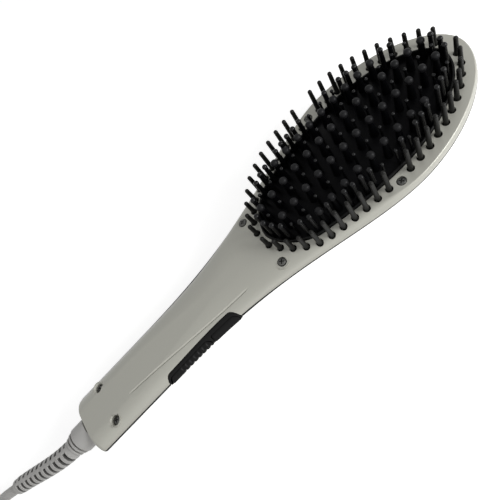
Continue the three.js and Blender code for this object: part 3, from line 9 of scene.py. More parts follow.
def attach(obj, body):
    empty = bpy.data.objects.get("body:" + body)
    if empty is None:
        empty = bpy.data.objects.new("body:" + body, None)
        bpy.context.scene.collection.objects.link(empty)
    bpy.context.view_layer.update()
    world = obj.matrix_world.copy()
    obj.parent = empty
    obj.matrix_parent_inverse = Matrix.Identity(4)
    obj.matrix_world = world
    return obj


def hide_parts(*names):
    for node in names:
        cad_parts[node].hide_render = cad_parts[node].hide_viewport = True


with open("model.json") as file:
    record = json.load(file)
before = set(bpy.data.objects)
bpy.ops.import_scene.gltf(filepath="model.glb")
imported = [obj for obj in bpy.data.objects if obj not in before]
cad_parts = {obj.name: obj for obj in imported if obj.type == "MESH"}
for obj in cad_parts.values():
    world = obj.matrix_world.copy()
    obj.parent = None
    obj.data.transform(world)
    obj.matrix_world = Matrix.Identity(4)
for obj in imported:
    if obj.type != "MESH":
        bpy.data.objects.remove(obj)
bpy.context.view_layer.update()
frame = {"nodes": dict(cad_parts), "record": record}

# Sizes are in millimetres from the handle's end face, the axis of the brush and the floor,
# and at() turns them into metres about the part's origin.
mm = 0.001
originX = 130.75

shape = {
    "length": 276.5, "handleHalf": 17.1, "headHalf": 39.3, "headWideX": 210.3,
    "neckStartX": 39.3, "neckEase": 1.66, "tipRoundness": 1.88, "cornerRadius": 2.5,
    "cornerShrink": 0.4, "cornerLeast": 0.8, "leastShoulder": 0.2, "leastRound": 0.3, "wall": 2.2, "gap": 0.3,
    "seam": 18, "seamLift": 2.4, "seamHalfGap": 0.15, "shadowGap": 0.35, "face": 24.8,
    "handleShoulder": 9.5, "neckShoulder": 18, "neckShoulderX": 122, "headShoulder": 1.2,
    "handleFullness": 1.6, "headFullness": 2.3, "fullnessFromX": 92, "fullnessToX": 142,
    "handleBilge": 13.5, "headBilge": 16.5, "bilgeSlope": 0.78, "endRound": 0.8,
    "rimInset": 7, "rimNeckX": 135.7, "rimBlendX": 164.3, "rimNeckRoundness": 1.7, "fieldFlare": 2.8,
    "openingInset": 10.3, "headScrewX": 201, "headScrewInset": 5.5, "collarZ": 17,
}


def at(x, y, z):
    return Vector(((x - originX) * mm, y * mm, z * mm))


# From 0 to 1 with a soft start and end
def smooth(t):
    s = min(max(t, 0), 1)
    return s * s * (3 - 2 * s)


def mix(a, b, t):
    return a + (b - a) * t


# Camera

cameraSettings = {
    "location": at(141.3, -130.5, 218.5),
    "right": Vector((0.6905, -0.5748, -0.4391)),
    "down": Vector((-0.7213, -0.5931, -0.3578)),
    "forward": Vector((-0.0548, 0.5638, -0.8241)),
    "lens": 32.88,
    "shift": (0.0016, -0.0026),
}


def makeCamera(settings):
    camera = bpy.data.objects.new("camera", bpy.data.cameras.new("camera"))
    bpy.context.collection.objects.link(camera)
    turn = Matrix((settings["right"], -settings["down"], -settings["forward"])).transposed()
    camera.matrix_world = Matrix.Translation(settings["location"]) @ turn.to_4x4()
    camera.data.lens = settings["lens"]
    camera.data.sensor_width = 36
    camera.data.shift_x, camera.data.shift_y = settings["shift"]
    camera.data.clip_start = 0.01
    camera.data.dof.use_dof = False
    bpy.context.scene.camera = camera


makeCamera(cameraSettings)
bpy.context.scene.view_settings.view_transform = "Standard"
print("Camera in place")


# Node trees. Shader groups give only masks, values and normals

def addNode(tree, kind, **values):
    node = tree.nodes.new(kind)
    for key, value in values.items():
        if hasattr(node, key):
            setattr(node, key, value)
        else:
            node.inputs[key.replace("_", " ")].default_value = value
    return node


# Links, each given as a node and its output, then a node and its input
def connect(tree, *links):
    for source, output, target, wanted in links:
        tree.links.new(source.outputs[output], target.inputs[wanted])


# A tree whose inputs are numbers with a default, or the kinds that are named
def groupWith(kind, name, inputs, outputs):
    tree = bpy.data.node_groups.new(name, kind + "NodeTree")
    for label, value in inputs.items():
        valueKind = value if isinstance(value, str) else "Float"
        socket = tree.interface.new_socket(label, in_out="INPUT", socket_type="NodeSocket" + valueKind)
        if valueKind == "Float":
            socket.default_value = value
    for label, valueKind in outputs.items():
        tree.interface.new_socket(label, in_out="OUTPUT", socket_type="NodeSocket" + valueKind)
    return tree, tree.nodes.new("NodeGroupInput"), tree.nodes.new("NodeGroupOutput")


# Cloudy tone, fine grain, roughness that drifts, and a bump of the grain
def makeGrainGroup():
    tree, given, out = groupWith(
        "Shader", "grainedSurface",
        {"Cloud Scale": 40, "Grain Scale": 1500, "Roughness": 0.4, "Roughness Spread": 0.1, "Bump": 0.05,
         "Bump Depth": 0.0001},
        {"Tone": "Float", "Grain": "Float", "Roughness": "Float", "Normal": "Vector"},
    )
    coordinates = addNode(tree, "ShaderNodeTexCoord")
    cloud = addNode(tree, "ShaderNodeTexNoise", Detail=3.0, Roughness=0.55)
    grain = addNode(tree, "ShaderNodeTexNoise", Detail=2.0, Roughness=0.5)
    centred = addNode(tree, "ShaderNodeMath", operation="SUBTRACT")
    centred.inputs[1].default_value = 0.5
    spread = addNode(tree, "ShaderNodeMath", operation="MULTIPLY_ADD")
    bump = addNode(tree, "ShaderNodeBump")
    connect(
        tree,
        (coordinates, "Object", cloud, "Vector"), (coordinates, "Object", grain, "Vector"),
        (given, "Cloud Scale", cloud, "Scale"), (given, "Grain Scale", grain, "Scale"),
        (cloud, "Fac", centred, 0), (centred, 0, spread, 0),
        (given, "Roughness Spread", spread, 1), (given, "Roughness", spread, 2),
        (given, "Bump", bump, "Strength"), (given, "Bump Depth", bump, "Distance"),
        (grain, "Fac", bump, "Height"), (cloud, "Fac", out, "Tone"), (grain, "Fac", out, "Grain"),
        (spread, 0, out, "Roughness"), (bump, "Normal", out, "Normal"),
    )
    return tree


grainGroup = makeGrainGroup()


def makeMaterial(name, settings):
    material = bpy.data.materials.new(name)
    material.use_nodes = True
    tree = material.node_tree
    shader = tree.nodes["Principled BSDF"]
    grain = addNode(tree, "ShaderNodeGroup", node_tree=grainGroup)
    for label in ("Cloud Scale", "Grain Scale", "Roughness", "Roughness Spread", "Bump", "Bump Depth"):
        grain.inputs[label].default_value = settings[label]
    ramp = addNode(tree, "ShaderNodeValToRGB")
    ramp.color_ramp.elements[0].position = 0.3
    ramp.color_ramp.elements[1].position = 0.7
    ramp.color_ramp.elements[0].color = (*settings["Dark"], 1)
    ramp.color_ramp.elements[1].color = (*settings["Light"], 1)
    connect(
        tree,
        (grain, settings.get("Follows", "Tone"), ramp, "Fac"), (ramp, "Color", shader, "Base Color"),
        (grain, "Roughness", shader, "Roughness"), (grain, "Normal", shader, "Normal"),
    )
    for label in ("Metallic", "Coat Weight", "Coat Roughness", "Specular IOR Level", "Sheen Weight"):
        if label in settings:
            shader.inputs[label].default_value = settings[label]
    return material


def finishOf(dark, light, roughness, **extra):
    settings = {
        "Dark": dark, "Light": light, "Roughness": roughness, "Roughness Spread": 0.12,
        "Cloud Scale": 60, "Grain Scale": 2500, "Bump": 0.15, "Bump Depth": 0.00004,
    }
    settings.update(extra)
    return settings


materialSettings = {
    "housingPaint": finishOf(
        (0.4, 0.397, 0.352), (0.435, 0.432, 0.384), 0.36,
        **{"Metallic": 0.2, "Cloud Scale": 25, "Grain Scale": 6000, "Bump": 0.12, "Follows": "Grain"},
    ),
    "plateCoating": finishOf(
        (0.0014, 0.0014, 0.0018), (0.0026, 0.0026, 0.0032), 0.4,
        **{"Grain Scale": 1800, "Bump": 0.25, "Specular IOR Level": 0.05},
    ),
    "capPlastic": finishOf(
        (0.007, 0.007, 0.0078), (0.012, 0.012, 0.013), 0.42, **{"Specular IOR Level": 0.12},
    ),
    "nylon": finishOf(
        (0.006, 0.006, 0.0055), (0.01, 0.01, 0.009), 0.42,
        **{"Grain Scale": 3000, "Specular IOR Level": 0.15},
    ),
    "pinNylon": finishOf(
        (0.002, 0.002, 0.0023), (0.004, 0.004, 0.0046), 0.25, **{"Specular IOR Level": 0.2},
    ),
    "blackPlastic": finishOf(
        (0.002, 0.002, 0.002), (0.004, 0.004, 0.004), 0.45,
        **{"Grain Scale": 2200, "Bump": 0.4, "Specular IOR Level": 0.14},
    ),
    "screwSteel": finishOf((0.06, 0.06, 0.057), (0.12, 0.12, 0.115), 0.38, Metallic=0.85),
    "cordPlastic": finishOf((0.4, 0.395, 0.38), (0.46, 0.455, 0.44), 0.45, **{"Grain Scale": 1600}),
    # Painted shade: a darker tone of the cord plastic that stands in for the shadow inside the boot's slots
    "slotPaintedShade": finishOf((0.11, 0.108, 0.104), (0.15, 0.148, 0.142), 0.6),
    "brightSteel": finishOf((0.45, 0.46, 0.47), (0.62, 0.63, 0.65), 0.28, Metallic=0.95),
    "brass": finishOf((0.52, 0.38, 0.13), (0.68, 0.5, 0.19), 0.25, Metallic=0.95),
    "ceramic": finishOf((0.66, 0.63, 0.58), (0.8, 0.78, 0.73), 0.6, **{"Grain Scale": 900}),
    "mica": finishOf(
        (0.42, 0.34, 0.2), (0.66, 0.57, 0.4), 0.55,
        **{"Grain Scale": 500, "Cloud Scale": 220, "Coat Weight": 0.3},
    ),
    "boardMask": finishOf((0.012, 0.07, 0.028), (0.02, 0.12, 0.045), 0.35, **{"Cloud Scale": 400}),
    "epoxy": finishOf((0.012, 0.012, 0.014), (0.03, 0.03, 0.034), 0.5, **{"Grain Scale": 1200}),
    "leadSilicone": finishOf((0.2, 0.03, 0.02), (0.3, 0.045, 0.03), 0.5),
}
materials = {name: makeMaterial(name, settings) for name, settings in materialSettings.items()}
print("Materials made:", len(materials))


# Meshes

def newObject(name, mesh):
    piece = bpy.data.objects.new(name, mesh)
    bpy.context.collection.objects.link(piece)
    return piece


# A mesh with doubled points merged and its faces turned outwards
def meshFrom(name, points, faces):
    mesh = bpy.data.meshes.new(name)
    mesh.from_pydata([tuple(p) for p in points], [], faces)
    mesh.update()
    body = bmesh.new()
    body.from_mesh(mesh)
    bmesh.ops.remove_doubles(body, verts=body.verts, dist=1e-7)
    bmesh.ops.recalc_face_normals(body, faces=body.faces)
    body.to_mesh(mesh)
    body.free()
    return mesh


# Rings of equal counts joined one to the next, closed by a face at each end or joined back to the first
def ringsMesh(name, rings, hoop=False):
    count = len(rings[0])
    points = [p for ring in rings for p in ring]
    faces = []
    pairs = len(rings) if hoop else len(rings) - 1
    for k in range(pairs):
        a = k * count
        b = ((k + 1) % len(rings)) * count
        for j in range(count):
            n = (j + 1) % count
            faces.append((a + j, a + n, b + n, b + j))
    if not hoop:
        faces.append(tuple(range(count)))
        faces.append(tuple(range((len(rings) - 1) * count, len(rings) * count)))
    return meshFrom(name, points, faces)


# Puts what the modifiers make in place of the piece's mesh
def applied(piece):
    graph = bpy.context.evaluated_depsgraph_get()
    graph.update()
    mesh = bpy.data.meshes.new_from_object(piece.evaluated_get(graph), depsgraph=graph)
    piece.modifiers.clear()
    piece.data = mesh


def carve(piece, cutter, operation="DIFFERENCE"):
    tool = newObject("tool", cutter)
    modifier = piece.modifiers.new("cut", "BOOLEAN")
    modifier.operation = operation
    modifier.object = tool
    modifier.solver = "EXACT"
    applied(piece)
    bpy.data.objects.remove(tool)


def shade(piece, angle=32):
    mesh = piece.data
    for polygon in mesh.polygons:
        polygon.use_smooth = True
    mesh.set_sharp_from_angle(angle=radians(angle))
    modifier = piece.modifiers.new("weights", "WEIGHTED_NORMAL")
    modifier.keep_sharp = True
    applied(piece)


def soften(piece, width, angle=35, segments=2):
    modifier = piece.modifiers.new("edge", "BEVEL")
    modifier.width = width * mm
    modifier.segments = segments
    modifier.limit_method = "ANGLE"
    modifier.angle_limit = radians(angle)
    applied(piece)


# Gives a piece its material and body, and hides the nodes it replaces
def dress(piece, material, nodes, body="root"):
    if material:
        piece.data.materials.clear()
        piece.data.materials.append(materials[material])
    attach(piece, body)
    if nodes:
        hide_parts(*nodes)


# Two meshes as one, with nothing cut
def joined(name, meshes):
    body = bmesh.new()
    for mesh in meshes:
        body.from_mesh(mesh)
    mesh = bpy.data.meshes.new(name)
    body.to_mesh(mesh)
    body.free()
    return mesh


def boxMesh(low, high):
    x0, y0, z0 = low
    x1, y1, z1 = high
    ring = [(x0, y0), (x1, y0), (x1, y1), (x0, y1)]
    return ringsMesh("box", [[at(x, y, z) for x, y in ring] for z in (z0, z1)])


def postMesh(x, y, bottom, top, radius, sides=32):
    angles = [2 * pi * i / sides for i in range(sides)]
    return ringsMesh("post", [
        [at(x + radius * cos(a), y + radius * sin(a), z) for a in angles] for z in (bottom, top)
    ])


# A turned mesh about an axis along X, from pairs of place and radius
def turnedMesh(name, profile, y, z, sides=64):
    angles = [2 * pi * i / sides for i in range(sides)]
    rings = [[at(x, y + r * cos(a), z + r * sin(a)) for a in angles] for x, r in profile]
    return ringsMesh(name, rings)


# Cord, laid along the same route as its solids

cordSettings = {
    "diameter": 6, "sides": 20, "stepsPerSpan": 6,
    "freeRoute": [Vector((-86.2, 20, 4.6)), Vector((-101.2, 26.5, 3.3)), Vector((-118.2, 33.5, 3.3))],
    "coilCentre": (-143.2, -11), "coilInner": 25, "coilPitch": 6.6, "coilTurns": 3.5, "coilDip": 1.1,
    "coilLow": 3.9, "climb": 0.5, "stepsPerTurn": 72, "straight": 10,
    "entryFrom": Vector((8, 0, -0.2)), "leaveTo": Vector((7, 0, -0.1)),
    "leadBend": Vector((18.9, -1.6, -1.4)), "plugFrom": Vector((-9, 0, 0.1)),
    "plugLead": 42, "plugShiftY": -4,
}
bootSettings = {
    "route": [
        Vector((-15.3, 0, shape["collarZ"])), Vector((-30.2, 0, shape["collarZ"])), Vector((-47.2, 8.6, 13)),
        Vector((-62.4, 12.2, 11.4)),
    ],
    "steps": 340, "plainSteps": 16, "sides": 56, "base": 5.5, "tip": 4.7, "plainStep": 0.25, "ribs": 11,
    "slotDepth": 3.2, "slotHalf": 0.26, "slotEdge": 0.05, "bridge": 0.2, "bridgeEdge": 0.12, "slotShade": 0.9,
}
plugSettings = {
    "start": 11, "length": 25, "thickness": 13.6, "edge": 0.35,
    "outline": [(0, 8), (3, 8.6), (10.8, 15.15), (20, 17.45), (23, 17.65), (25, 16.15)],
    "shrinks": [(0, 1.6), (0.5, 0.6), (1.6, 0)],
    "sleeve": [(0, 3.1), (0, 3.7), (0.4, 3.9), (12.5, 5.2), (15, 5.5), (15, 1)],
    "grips": 5, "gripStart": 5, "gripPitch": 2.2, "gripWidth": 1, "gripHalf": 5, "gripDepth": 0.35,
    "pin": 2, "pinLength": 19, "pinSpacing": 19, "pinSleeve": 10, "pinStep": 0.15, "pinTip": 1.4,
    "pinTipAngles": (0.4, 0.8, 1.1, 1.4, pi / 2),
}


# A point at share t of the curve with these four control points
def bezier(a, b, c, d, t):
    s = 1 - t
    return a * s ** 3 + b * (3 * s * s * t) + c * (3 * s * t * t) + d * t ** 3


# The coil winds inwards, climbs one layer and winds outwards again
def coilPoint(turn):
    s = cordSettings
    climbed = min(max((turn - s["coilTurns"]) / s["climb"], 0), 1)
    outer = s["coilInner"] + s["coilTurns"] * s["coilPitch"]
    radius = s["coilInner"] - s["coilDip"] * sin(pi * climbed)
    if turn < s["coilTurns"]:
        radius = outer - s["coilPitch"] * turn
    if turn > s["coilTurns"] + s["climb"]:
        radius = s["coilInner"] + s["coilPitch"] * (turn - s["coilTurns"] - s["climb"])
    angle = pi / 2 + turn * 2 * pi
    x = s["coilCentre"][0] + radius * cos(angle)
    y = s["coilCentre"][1] + radius * sin(angle)
    return Vector((x, y, s["coilLow"] + s["coilPitch"] * smooth(climbed)))


# A smooth curve through the given points, with its speed set by their distances
def throughPoints(points, perSpan):
    first = points[0] * 2 - points[1]
    last = points[-1] * 2 - points[-2]
    held = [first, *points, last]
    line = []
    for i in range(1, len(held) - 2):
        p0, p1, p2, p3 = held[i - 1:i + 3]
        t0 = (p1 - p0).length ** 0.5
        t1 = (p2 - p1).length ** 0.5
        t2 = (p3 - p2).length ** 0.5
        m1 = ((p1 - p0) / t0 - (p2 - p0) / (t0 + t1) + (p2 - p1) / t1) * t1
        m2 = ((p2 - p1) / t1 - (p3 - p1) / (t1 + t2) + (p3 - p2) / t2) * t1
        for k in range(perSpan):
            u = k / perSpan
            line.append(
                p1 * (2 * u ** 3 - 3 * u * u + 1) + m1 * (u ** 3 - 2 * u * u + u)
                + p2 * (3 * u * u - 2 * u ** 3) + m2 * (u ** 3 - u * u)
            )
    line.append(points[-1])
    return line


# Each point of a line with its direction and the two directions across it
def framesAlong(line):
    frames = []
    up = Vector((0, 0, 1))
    for i, p in enumerate(line):
        along = (line[min(i + 1, len(line) - 1)] - line[max(i - 1, 0)]).normalized()
        across = up.cross(along).normalized()
        frames.append((p, along, across, along.cross(across)))
    return frames


# A tube along a line, with a radius for each share of the way and each angle
def sleeveMesh(name, line, radiusAt, sides):
    rings = []
    frames = framesAlong(line)
    for i, (p, along, across, lift) in enumerate(frames):
        share = i / (len(frames) - 1)
        ring = []
        for j in range(sides):
            angle = 2 * pi * j / sides
            radius = radiusAt(share, angle)
            ring.append(at(*(p + across * (radius * cos(angle)) + lift * (radius * sin(angle)))))
        rings.append(ring)
    return ringsMesh(name, rings)


# The whole line from the boot's end to the plug, and where the plug starts
def makeCordLine():
    s = cordSettings
    bootBend, bootEnd = bootSettings["route"][2:]
    heading = (bootEnd - bootBend).normalized()
    start = bootEnd + heading * shape["gap"]
    short = Vector((shape["gap"], 0, 0))
    outer = s["coilInner"] + s["coilTurns"] * s["coilPitch"]
    entry = Vector((s["coilCentre"][0] + s["diameter"], s["coilCentre"][1] + outer, s["coilLow"]))
    free = throughPoints([
        start, start + heading * s["straight"], *s["freeRoute"], entry + s["entryFrom"], entry + short,
    ], s["stepsPerSpan"])
    turns = 2 * s["coilTurns"] + s["climb"]
    steps = round(turns * s["stepsPerTurn"])
    coil = [coilPoint(turns * i / steps) for i in range(steps + 1)]
    leave = coil[-1] + Vector((s["diameter"], 0, 0))
    plugRear = leave.x + s["plugLead"]
    plugY = leave.y + s["plugShiftY"]
    plugZ = plugSettings["thickness"] / 2
    plug = Vector((plugRear, plugY, plugZ))
    lead = throughPoints([
        leave + short, leave + s["leaveTo"], leave + s["leadBend"], plug + s["plugFrom"], plug - short,
    ], s["stepsPerSpan"])
    return free + coil + lead, plugRear, plugY, plugZ


cordLine, plugRearX, plugY, plugZ = makeCordLine()


def makeCord():
    s = cordSettings
    radius = s["diameter"] / 2
    piece = newObject("mainsCord", sleeveMesh("mainsCord", cordLine, lambda share, angle: radius, s["sides"]))
    shade(piece, 40)
    dress(piece, "cordPlastic", ["power_cord", "cord_coil", "plug_lead"], "swivel")
    return piece


# Ribs round the boot with slots between them, half a rib apart on its two sides, and painted shade on the
# faces deep in the slots
def makeBoot():
    s = bootSettings
    sides = s["sides"]
    line = [bezier(*s["route"], i / s["steps"]) for i in range(s["steps"] + 1)]
    plain = s["plainSteps"] / s["steps"]

    def wholeRadius(share):
        return mix(s["base"], s["tip"], share)

    def radiusAt(share, angle):
        if share < plain or share > 1 - plain:
            return wholeRadius(share) - s["plainStep"]
        along = (share - plain) / (1 - 2 * plain) * s["ribs"]
        shift = 0 if cos(angle) > 0 else 0.5
        slot = smooth((s["slotHalf"] - abs((along + shift) % 1 - 0.5)) / s["slotEdge"])
        reach = smooth((abs(cos(angle)) - s["bridge"]) / s["bridgeEdge"])
        return wholeRadius(share) - s["slotDepth"] * slot * reach

    def inSlot(index):
        share = index // sides / s["steps"]
        return radiusAt(share, 2 * pi * (index % sides) / sides) < wholeRadius(share) - s["slotShade"]

    piece = newObject("ribbedBoot", sleeveMesh("ribbedBoot", line, radiusAt, sides))
    shade(piece, 50)
    dress(piece, "cordPlastic", ["strain_relief"], "swivel")
    piece.data.materials.append(materials["slotPaintedShade"])
    # Painted shade goes on the faces deep in the slots
    for face in piece.data.polygons:
        if any(inSlot(index) for index in face.vertices):
            face.material_index = 1  # Painted shade: faces deep in the slots get a darker tone that stands in for the shadow inside them
    return piece


# The plug's flat body, with its sleeve and two pins
def makePlug():
    s = plugSettings
    rear = plugRearX + s["start"]
    front = rear + s["length"]
    half = max(y for x, y in s["outline"])
    outline = [(rear + x, -y) for x, y in s["outline"]]
    outline += [(x, -y) for x, y in reversed(outline)]
    top = s["thickness"]
    centre = (rear + front) / 2
    rings = []
    for z, shrink in s["shrinks"] + [(top - z, shrink) for z, shrink in reversed(s["shrinks"])]:
        keepX = 1 - shrink / ((front - rear) / 2)
        keepY = 1 - shrink / half
        rings.append([at(centre + (x - centre) * keepX, plugY + y * keepY, z) for x, y in outline])
    body = newObject("plugBody", ringsMesh("plugBody", rings))
    for i in range(s["grips"]):
        x = rear + s["gripStart"] + i * s["gripPitch"]
        for z in (0, top):
            low = (x, plugY - s["gripHalf"], z - s["gripDepth"])
            high = (x + s["gripWidth"], plugY + s["gripHalf"], z + s["gripDepth"])
            carve(body, boxMesh(low, high))
    soften(body, s["edge"], 30)
    sleeve = turnedMesh("sleeve", [(plugRearX + x, r) for x, r in s["sleeve"]], plugY, plugZ)
    carve(body, sleeve, "UNION")
    shade(body, 35)
    dress(body, "cordPlastic", ["plug_body"], "swivel")
    pins = [makePlugPin(number, side, front + shape["gap"]) for number, side in ((1, -1), (2, 1))]
    return [body, *pins]


# A round pin with a sleeved foot and a rounded tip
def makePlugPin(number, side, start):
    s = plugSettings
    end = start + s["pinLength"]
    foot = s["pin"] - s["pinStep"]
    shoulder = start + s["pinSleeve"]
    profile = [
        (start, 0.01), (start, foot), (shoulder, foot), (shoulder, s["pin"]), (end - s["pinTip"], s["pin"]),
    ]
    for a in s["pinTipAngles"]:
        profile.append((end - s["pinTip"] * (1 - sin(a)), s["pin"] * cos(a) + 0.001))
    mesh = turnedMesh("plugPin", profile, plugY + side * s["pinSpacing"] / 2, plugZ, 40)
    pin = newObject(f"plugPin{number}", mesh)
    shade(pin, 35)
    dress(pin, "brass", [f"plug_pin_{number}"], "swivel")
    return pin


tieSettings = {
    "thickness": 0.6, "width": 8, "slack": 0.9, "round": 2.2, "cornerSteps": 6, "edge": 0.5,
    "pitchShare": 0.25, "sideShare": 0.6,
}


# A band round the coil, between its middle and its outer side
def makeTie():
    s = tieSettings
    coil = cordSettings
    radius = coil["diameter"] / 2
    room = radius + s["slack"]
    inner = coil["coilInner"] + coil["coilPitch"] * s["pitchShare"] - room
    outer = coil["coilInner"] + coil["coilPitch"] * (coil["coilTurns"] - s["pitchShare"]) + room
    low = coil["coilLow"] - radius - shape["gap"]
    high = coil["coilLow"] + coil["coilPitch"] + radius + shape["gap"]
    cx, cy = coil["coilCentre"]

    def loopAt(grow, y):
        points = []
        corners = [
            (cx - outer, low, pi), (cx - inner, low, 1.5 * pi), (cx - inner, high, 0),
            (cx - outer, high, 0.5 * pi),
        ]
        for x, z, first in corners:
            inX = x + s["round"] * (1 if x < cx - (inner + outer) / 2 else -1)
            inZ = z + s["round"] * (1 if z == low else -1)
            for k in range(s["cornerSteps"] + 1):
                a = first + k / s["cornerSteps"] * pi / 2
                points.append(at(inX + (s["round"] + grow) * cos(a), y, inZ + (s["round"] + grow) * sin(a)))
        return points

    half = s["width"] / 2
    thick, edge = s["thickness"], s["edge"]
    side = thick * s["sideShare"]
    rings = [
        loopAt(0, cy - half), loopAt(0, cy + half), loopAt(side, cy + half),
        loopAt(thick, cy + half - edge), loopAt(thick, cy - half + edge), loopAt(side, cy - half),
    ]
    piece = newObject("cordTie", ringsMesh("cordTie", rings, hoop=True))
    shade(piece, 40)
    dress(piece, "blackPlastic", ["cord_tie"], "swivel")
    return piece


cord = makeCord()
boot = makeBoot()
plugPieces = makePlug()
tie = makeTie()


# Housing outline, as in the solids but in finer steps

# 0 on the handle, 1 at the widest place of the head
def headShare(x):
    along = max((x - shape["neckStartX"]) / (shape["headWideX"] - shape["neckStartX"]), 0)
    return smooth(along ** shape["neckEase"])


# Falls from 1 to 0 as t goes from 0 to 1, in a rounder bow for a higher power
def roundOff(t, power):
    return max(1 - min(t, 1) ** power, 0) ** (1 / power)


def halfWidth(x):
    if x > shape["headWideX"]:
        t = (x - shape["headWideX"]) / (shape["length"] - shape["headWideX"])
        return shape["headHalf"] * roundOff(t, shape["tipRoundness"])
    return mix(shape["handleHalf"], shape["headHalf"], headShare(x))


# How far the curve from the side into the face reaches inwards
def shoulderAt(x):
    if x < shape["neckShoulderX"]:
        widening = smooth((x - shape["neckStartX"]) / (shape["neckShoulderX"] - shape["neckStartX"]))
        return mix(shape["handleShoulder"], shape["neckShoulder"], widening)
    narrowing = smooth((x - shape["neckShoulderX"]) / (shape["headWideX"] - shape["neckShoulderX"]))
    return mix(shape["neckShoulder"], shape["headShoulder"], narrowing)


# How full that curve is, from a soft bevel on the handle to a round on the head
def fullnessAt(x):
    share = (x - shape["fullnessFromX"]) / (shape["fullnessToX"] - shape["fullnessFromX"])
    return mix(shape["handleFullness"], shape["headFullness"], smooth(share))


def bilgeAt(x):
    return mix(shape["handleBilge"], shape["headBilge"], headShare(x))


# The seam climbs towards the head, and the heights above and below it follow
def liftedZ(x, z):
    seam = shape["seam"]
    share = z / seam if z < seam else (shape["face"] - z) / (shape["face"] - seam)
    return z + shape["seamLift"] * headShare(x) * share


# A loop round the whole body, from the corners at the handle's end over the sides to the tip
def bodyLoop(insetAt, end, zAt):
    wide = shape["headWideX"]
    corner = max(shape["cornerRadius"] - end * shape["cornerShrink"], shape["cornerLeast"])
    tipInset = insetAt(wide)
    corners, sides, tips = 7, 64, 30

    def sideAt(x):
        return halfWidth(x) - insetAt(x)

    half = []
    for i in range(corners + 1):
        angle = i / corners * pi / 2
        half.append((end + corner * (1 - cos(angle)), sideAt(end + corner) - corner * (1 - sin(angle))))
    for i in range(1, sides + 1):
        x = mix(end + corner, wide, i / sides)
        half.append((x, sideAt(x)))
    for i in range(1, tips + 1):
        t = sin(i / tips * pi / 2)
        y = 0 if i == tips else (shape["headHalf"] - tipInset) * roundOff(t, shape["tipRoundness"])
        half.append((wide + (shape["length"] - tipInset - wide) * t, y))
    right = [at(x, -y, liftedZ(x, zAt(x))) for x, y in half]
    return right + [at(x, y, liftedZ(x, zAt(x))) for x, y in reversed(half[:-1])]


# Half width of the bristle field between its neck end and the widest place of the head
def fieldHalf(x, inset):
    blend = shape["rimBlendX"]
    flare = shape["fieldFlare"] * (1 - smooth((x - blend) / (shape["headWideX"] - blend)))
    if x >= blend:
        return halfWidth(x) - inset + flare
    neckX = shape["rimNeckX"] + inset - shape["rimInset"]
    back = (blend - x) / (blend - neckX)
    return (halfWidth(blend) - inset + flare) * roundOff(back, shape["rimNeckRoundness"])


# One side of the bristle field's outline, from its neck end to the tip
def headHalf(inset, fine=True):
    blend = shape["rimBlendX"]
    wide = shape["headWideX"]
    neckX = shape["rimNeckX"] + inset - shape["rimInset"]
    necks, sides, tips = (20, 24, 26) if fine else (5, 3, 7)
    half = [(neckX, 0)]
    for i in range(1, necks + 1):
        x = blend - (blend - neckX) * (0 if i == necks else cos(i / necks * pi / 2))
        half.append((x, fieldHalf(x, inset)))
    for i in range(1, sides + 1):
        x = mix(blend, wide, i / sides)
        half.append((x, fieldHalf(x, inset)))
    for i in range(1, tips + 1):
        t = sin(i / tips * pi / 2)
        y = 0 if i == tips else (shape["headHalf"] - inset) * roundOff(t, shape["tipRoundness"])
        half.append((wide + (shape["length"] - inset - wide) * t, y))
    return half


def headLoop(inset, z, fine=True):
    half = headHalf(inset, fine)
    return [at(x, -y, z) for x, y in half] + [at(x, y, z) for x, y in reversed(half[1:-1])]


# The surface of the side wall at a place along the brush and a height above the strip's middle
def sideY(x, rise, grow):
    z = shape["seam"] + rise
    seam = liftedZ(x, shape["seam"])
    gap = shape["seamHalfGap"]
    if z >= seam:
        up = min(max(z - seam - gap, 0) / (shape["face"] - seam - gap), 1)
        power = fullnessAt(x)
        return -(halfWidth(x) + grow - shoulderAt(x) * (1 - (1 - up ** power) ** (1 / power)))
    down = max(seam - gap - z, 0) / (seam - gap)
    u = 1 - (1 - down) ** 0.5
    return -(halfWidth(x) + grow - bilgeAt(x) * (2 * u * (1 - u) * shape["bilgeSlope"] + u * u))


# The height of the bristle side's surface
def faceZ(x, y):
    seam = liftedZ(x, shape["seam"]) + shape["seamHalfGap"]
    inward = min((halfWidth(x) - abs(y)) / shoulderAt(x), 1)
    power = fullnessAt(x)
    return seam + (shape["face"] - seam) * (1 - (1 - inward) ** power) ** (1 / power)


# Rim bristle and screw places

rimSettings = {
    "perSide": 23, "neckGap": 10.6, "tipGap": 13.9, "neckHeight": 9.5, "midHeight": 16, "tipHeight": 11,
    "screwRoom": 3.3, "footZ": 22,
    "Foot Radius": 1.35, "Neck Radius": 1.12, "End Radius": 1.16, "End Stretch": 1.0, "Sides": 20,
}


# Places spread evenly along a line round the bristle field, on both sides of the brush
def placesAlong(inset, count, neckGap, tipGap):
    line = headHalf(inset, False)
    lengths = [0]
    for (x0, y0), (x1, y1) in zip(line, line[1:]):
        lengths.append(lengths[-1] + hypot(x1 - x0, y1 - y0))
    pitch = (lengths[-1] - neckGap / 2 - tipGap / 2) / (count - 1)
    places = []
    for i in range(count):
        along = neckGap / 2 + i * pitch
        k = 1
        while k < len(line) - 1 and lengths[k] < along:
            k += 1
        part = (along - lengths[k - 1]) / (lengths[k] - lengths[k - 1])
        x = mix(line[k - 1][0], line[k][0], part)
        y = mix(line[k - 1][1], line[k][1], part)
        places += [(x, -y), (x, y)]
    return places


# Where the rim bristles stand. Those beside the two head screws are left out
def rimPlaces():
    s = rimSettings
    places = placesAlong(shape["rimInset"], s["perSide"], s["neckGap"], s["tipGap"])
    return [(x, y) for x, y in places if abs(x - shape["headScrewX"]) > s["screwRoom"]]


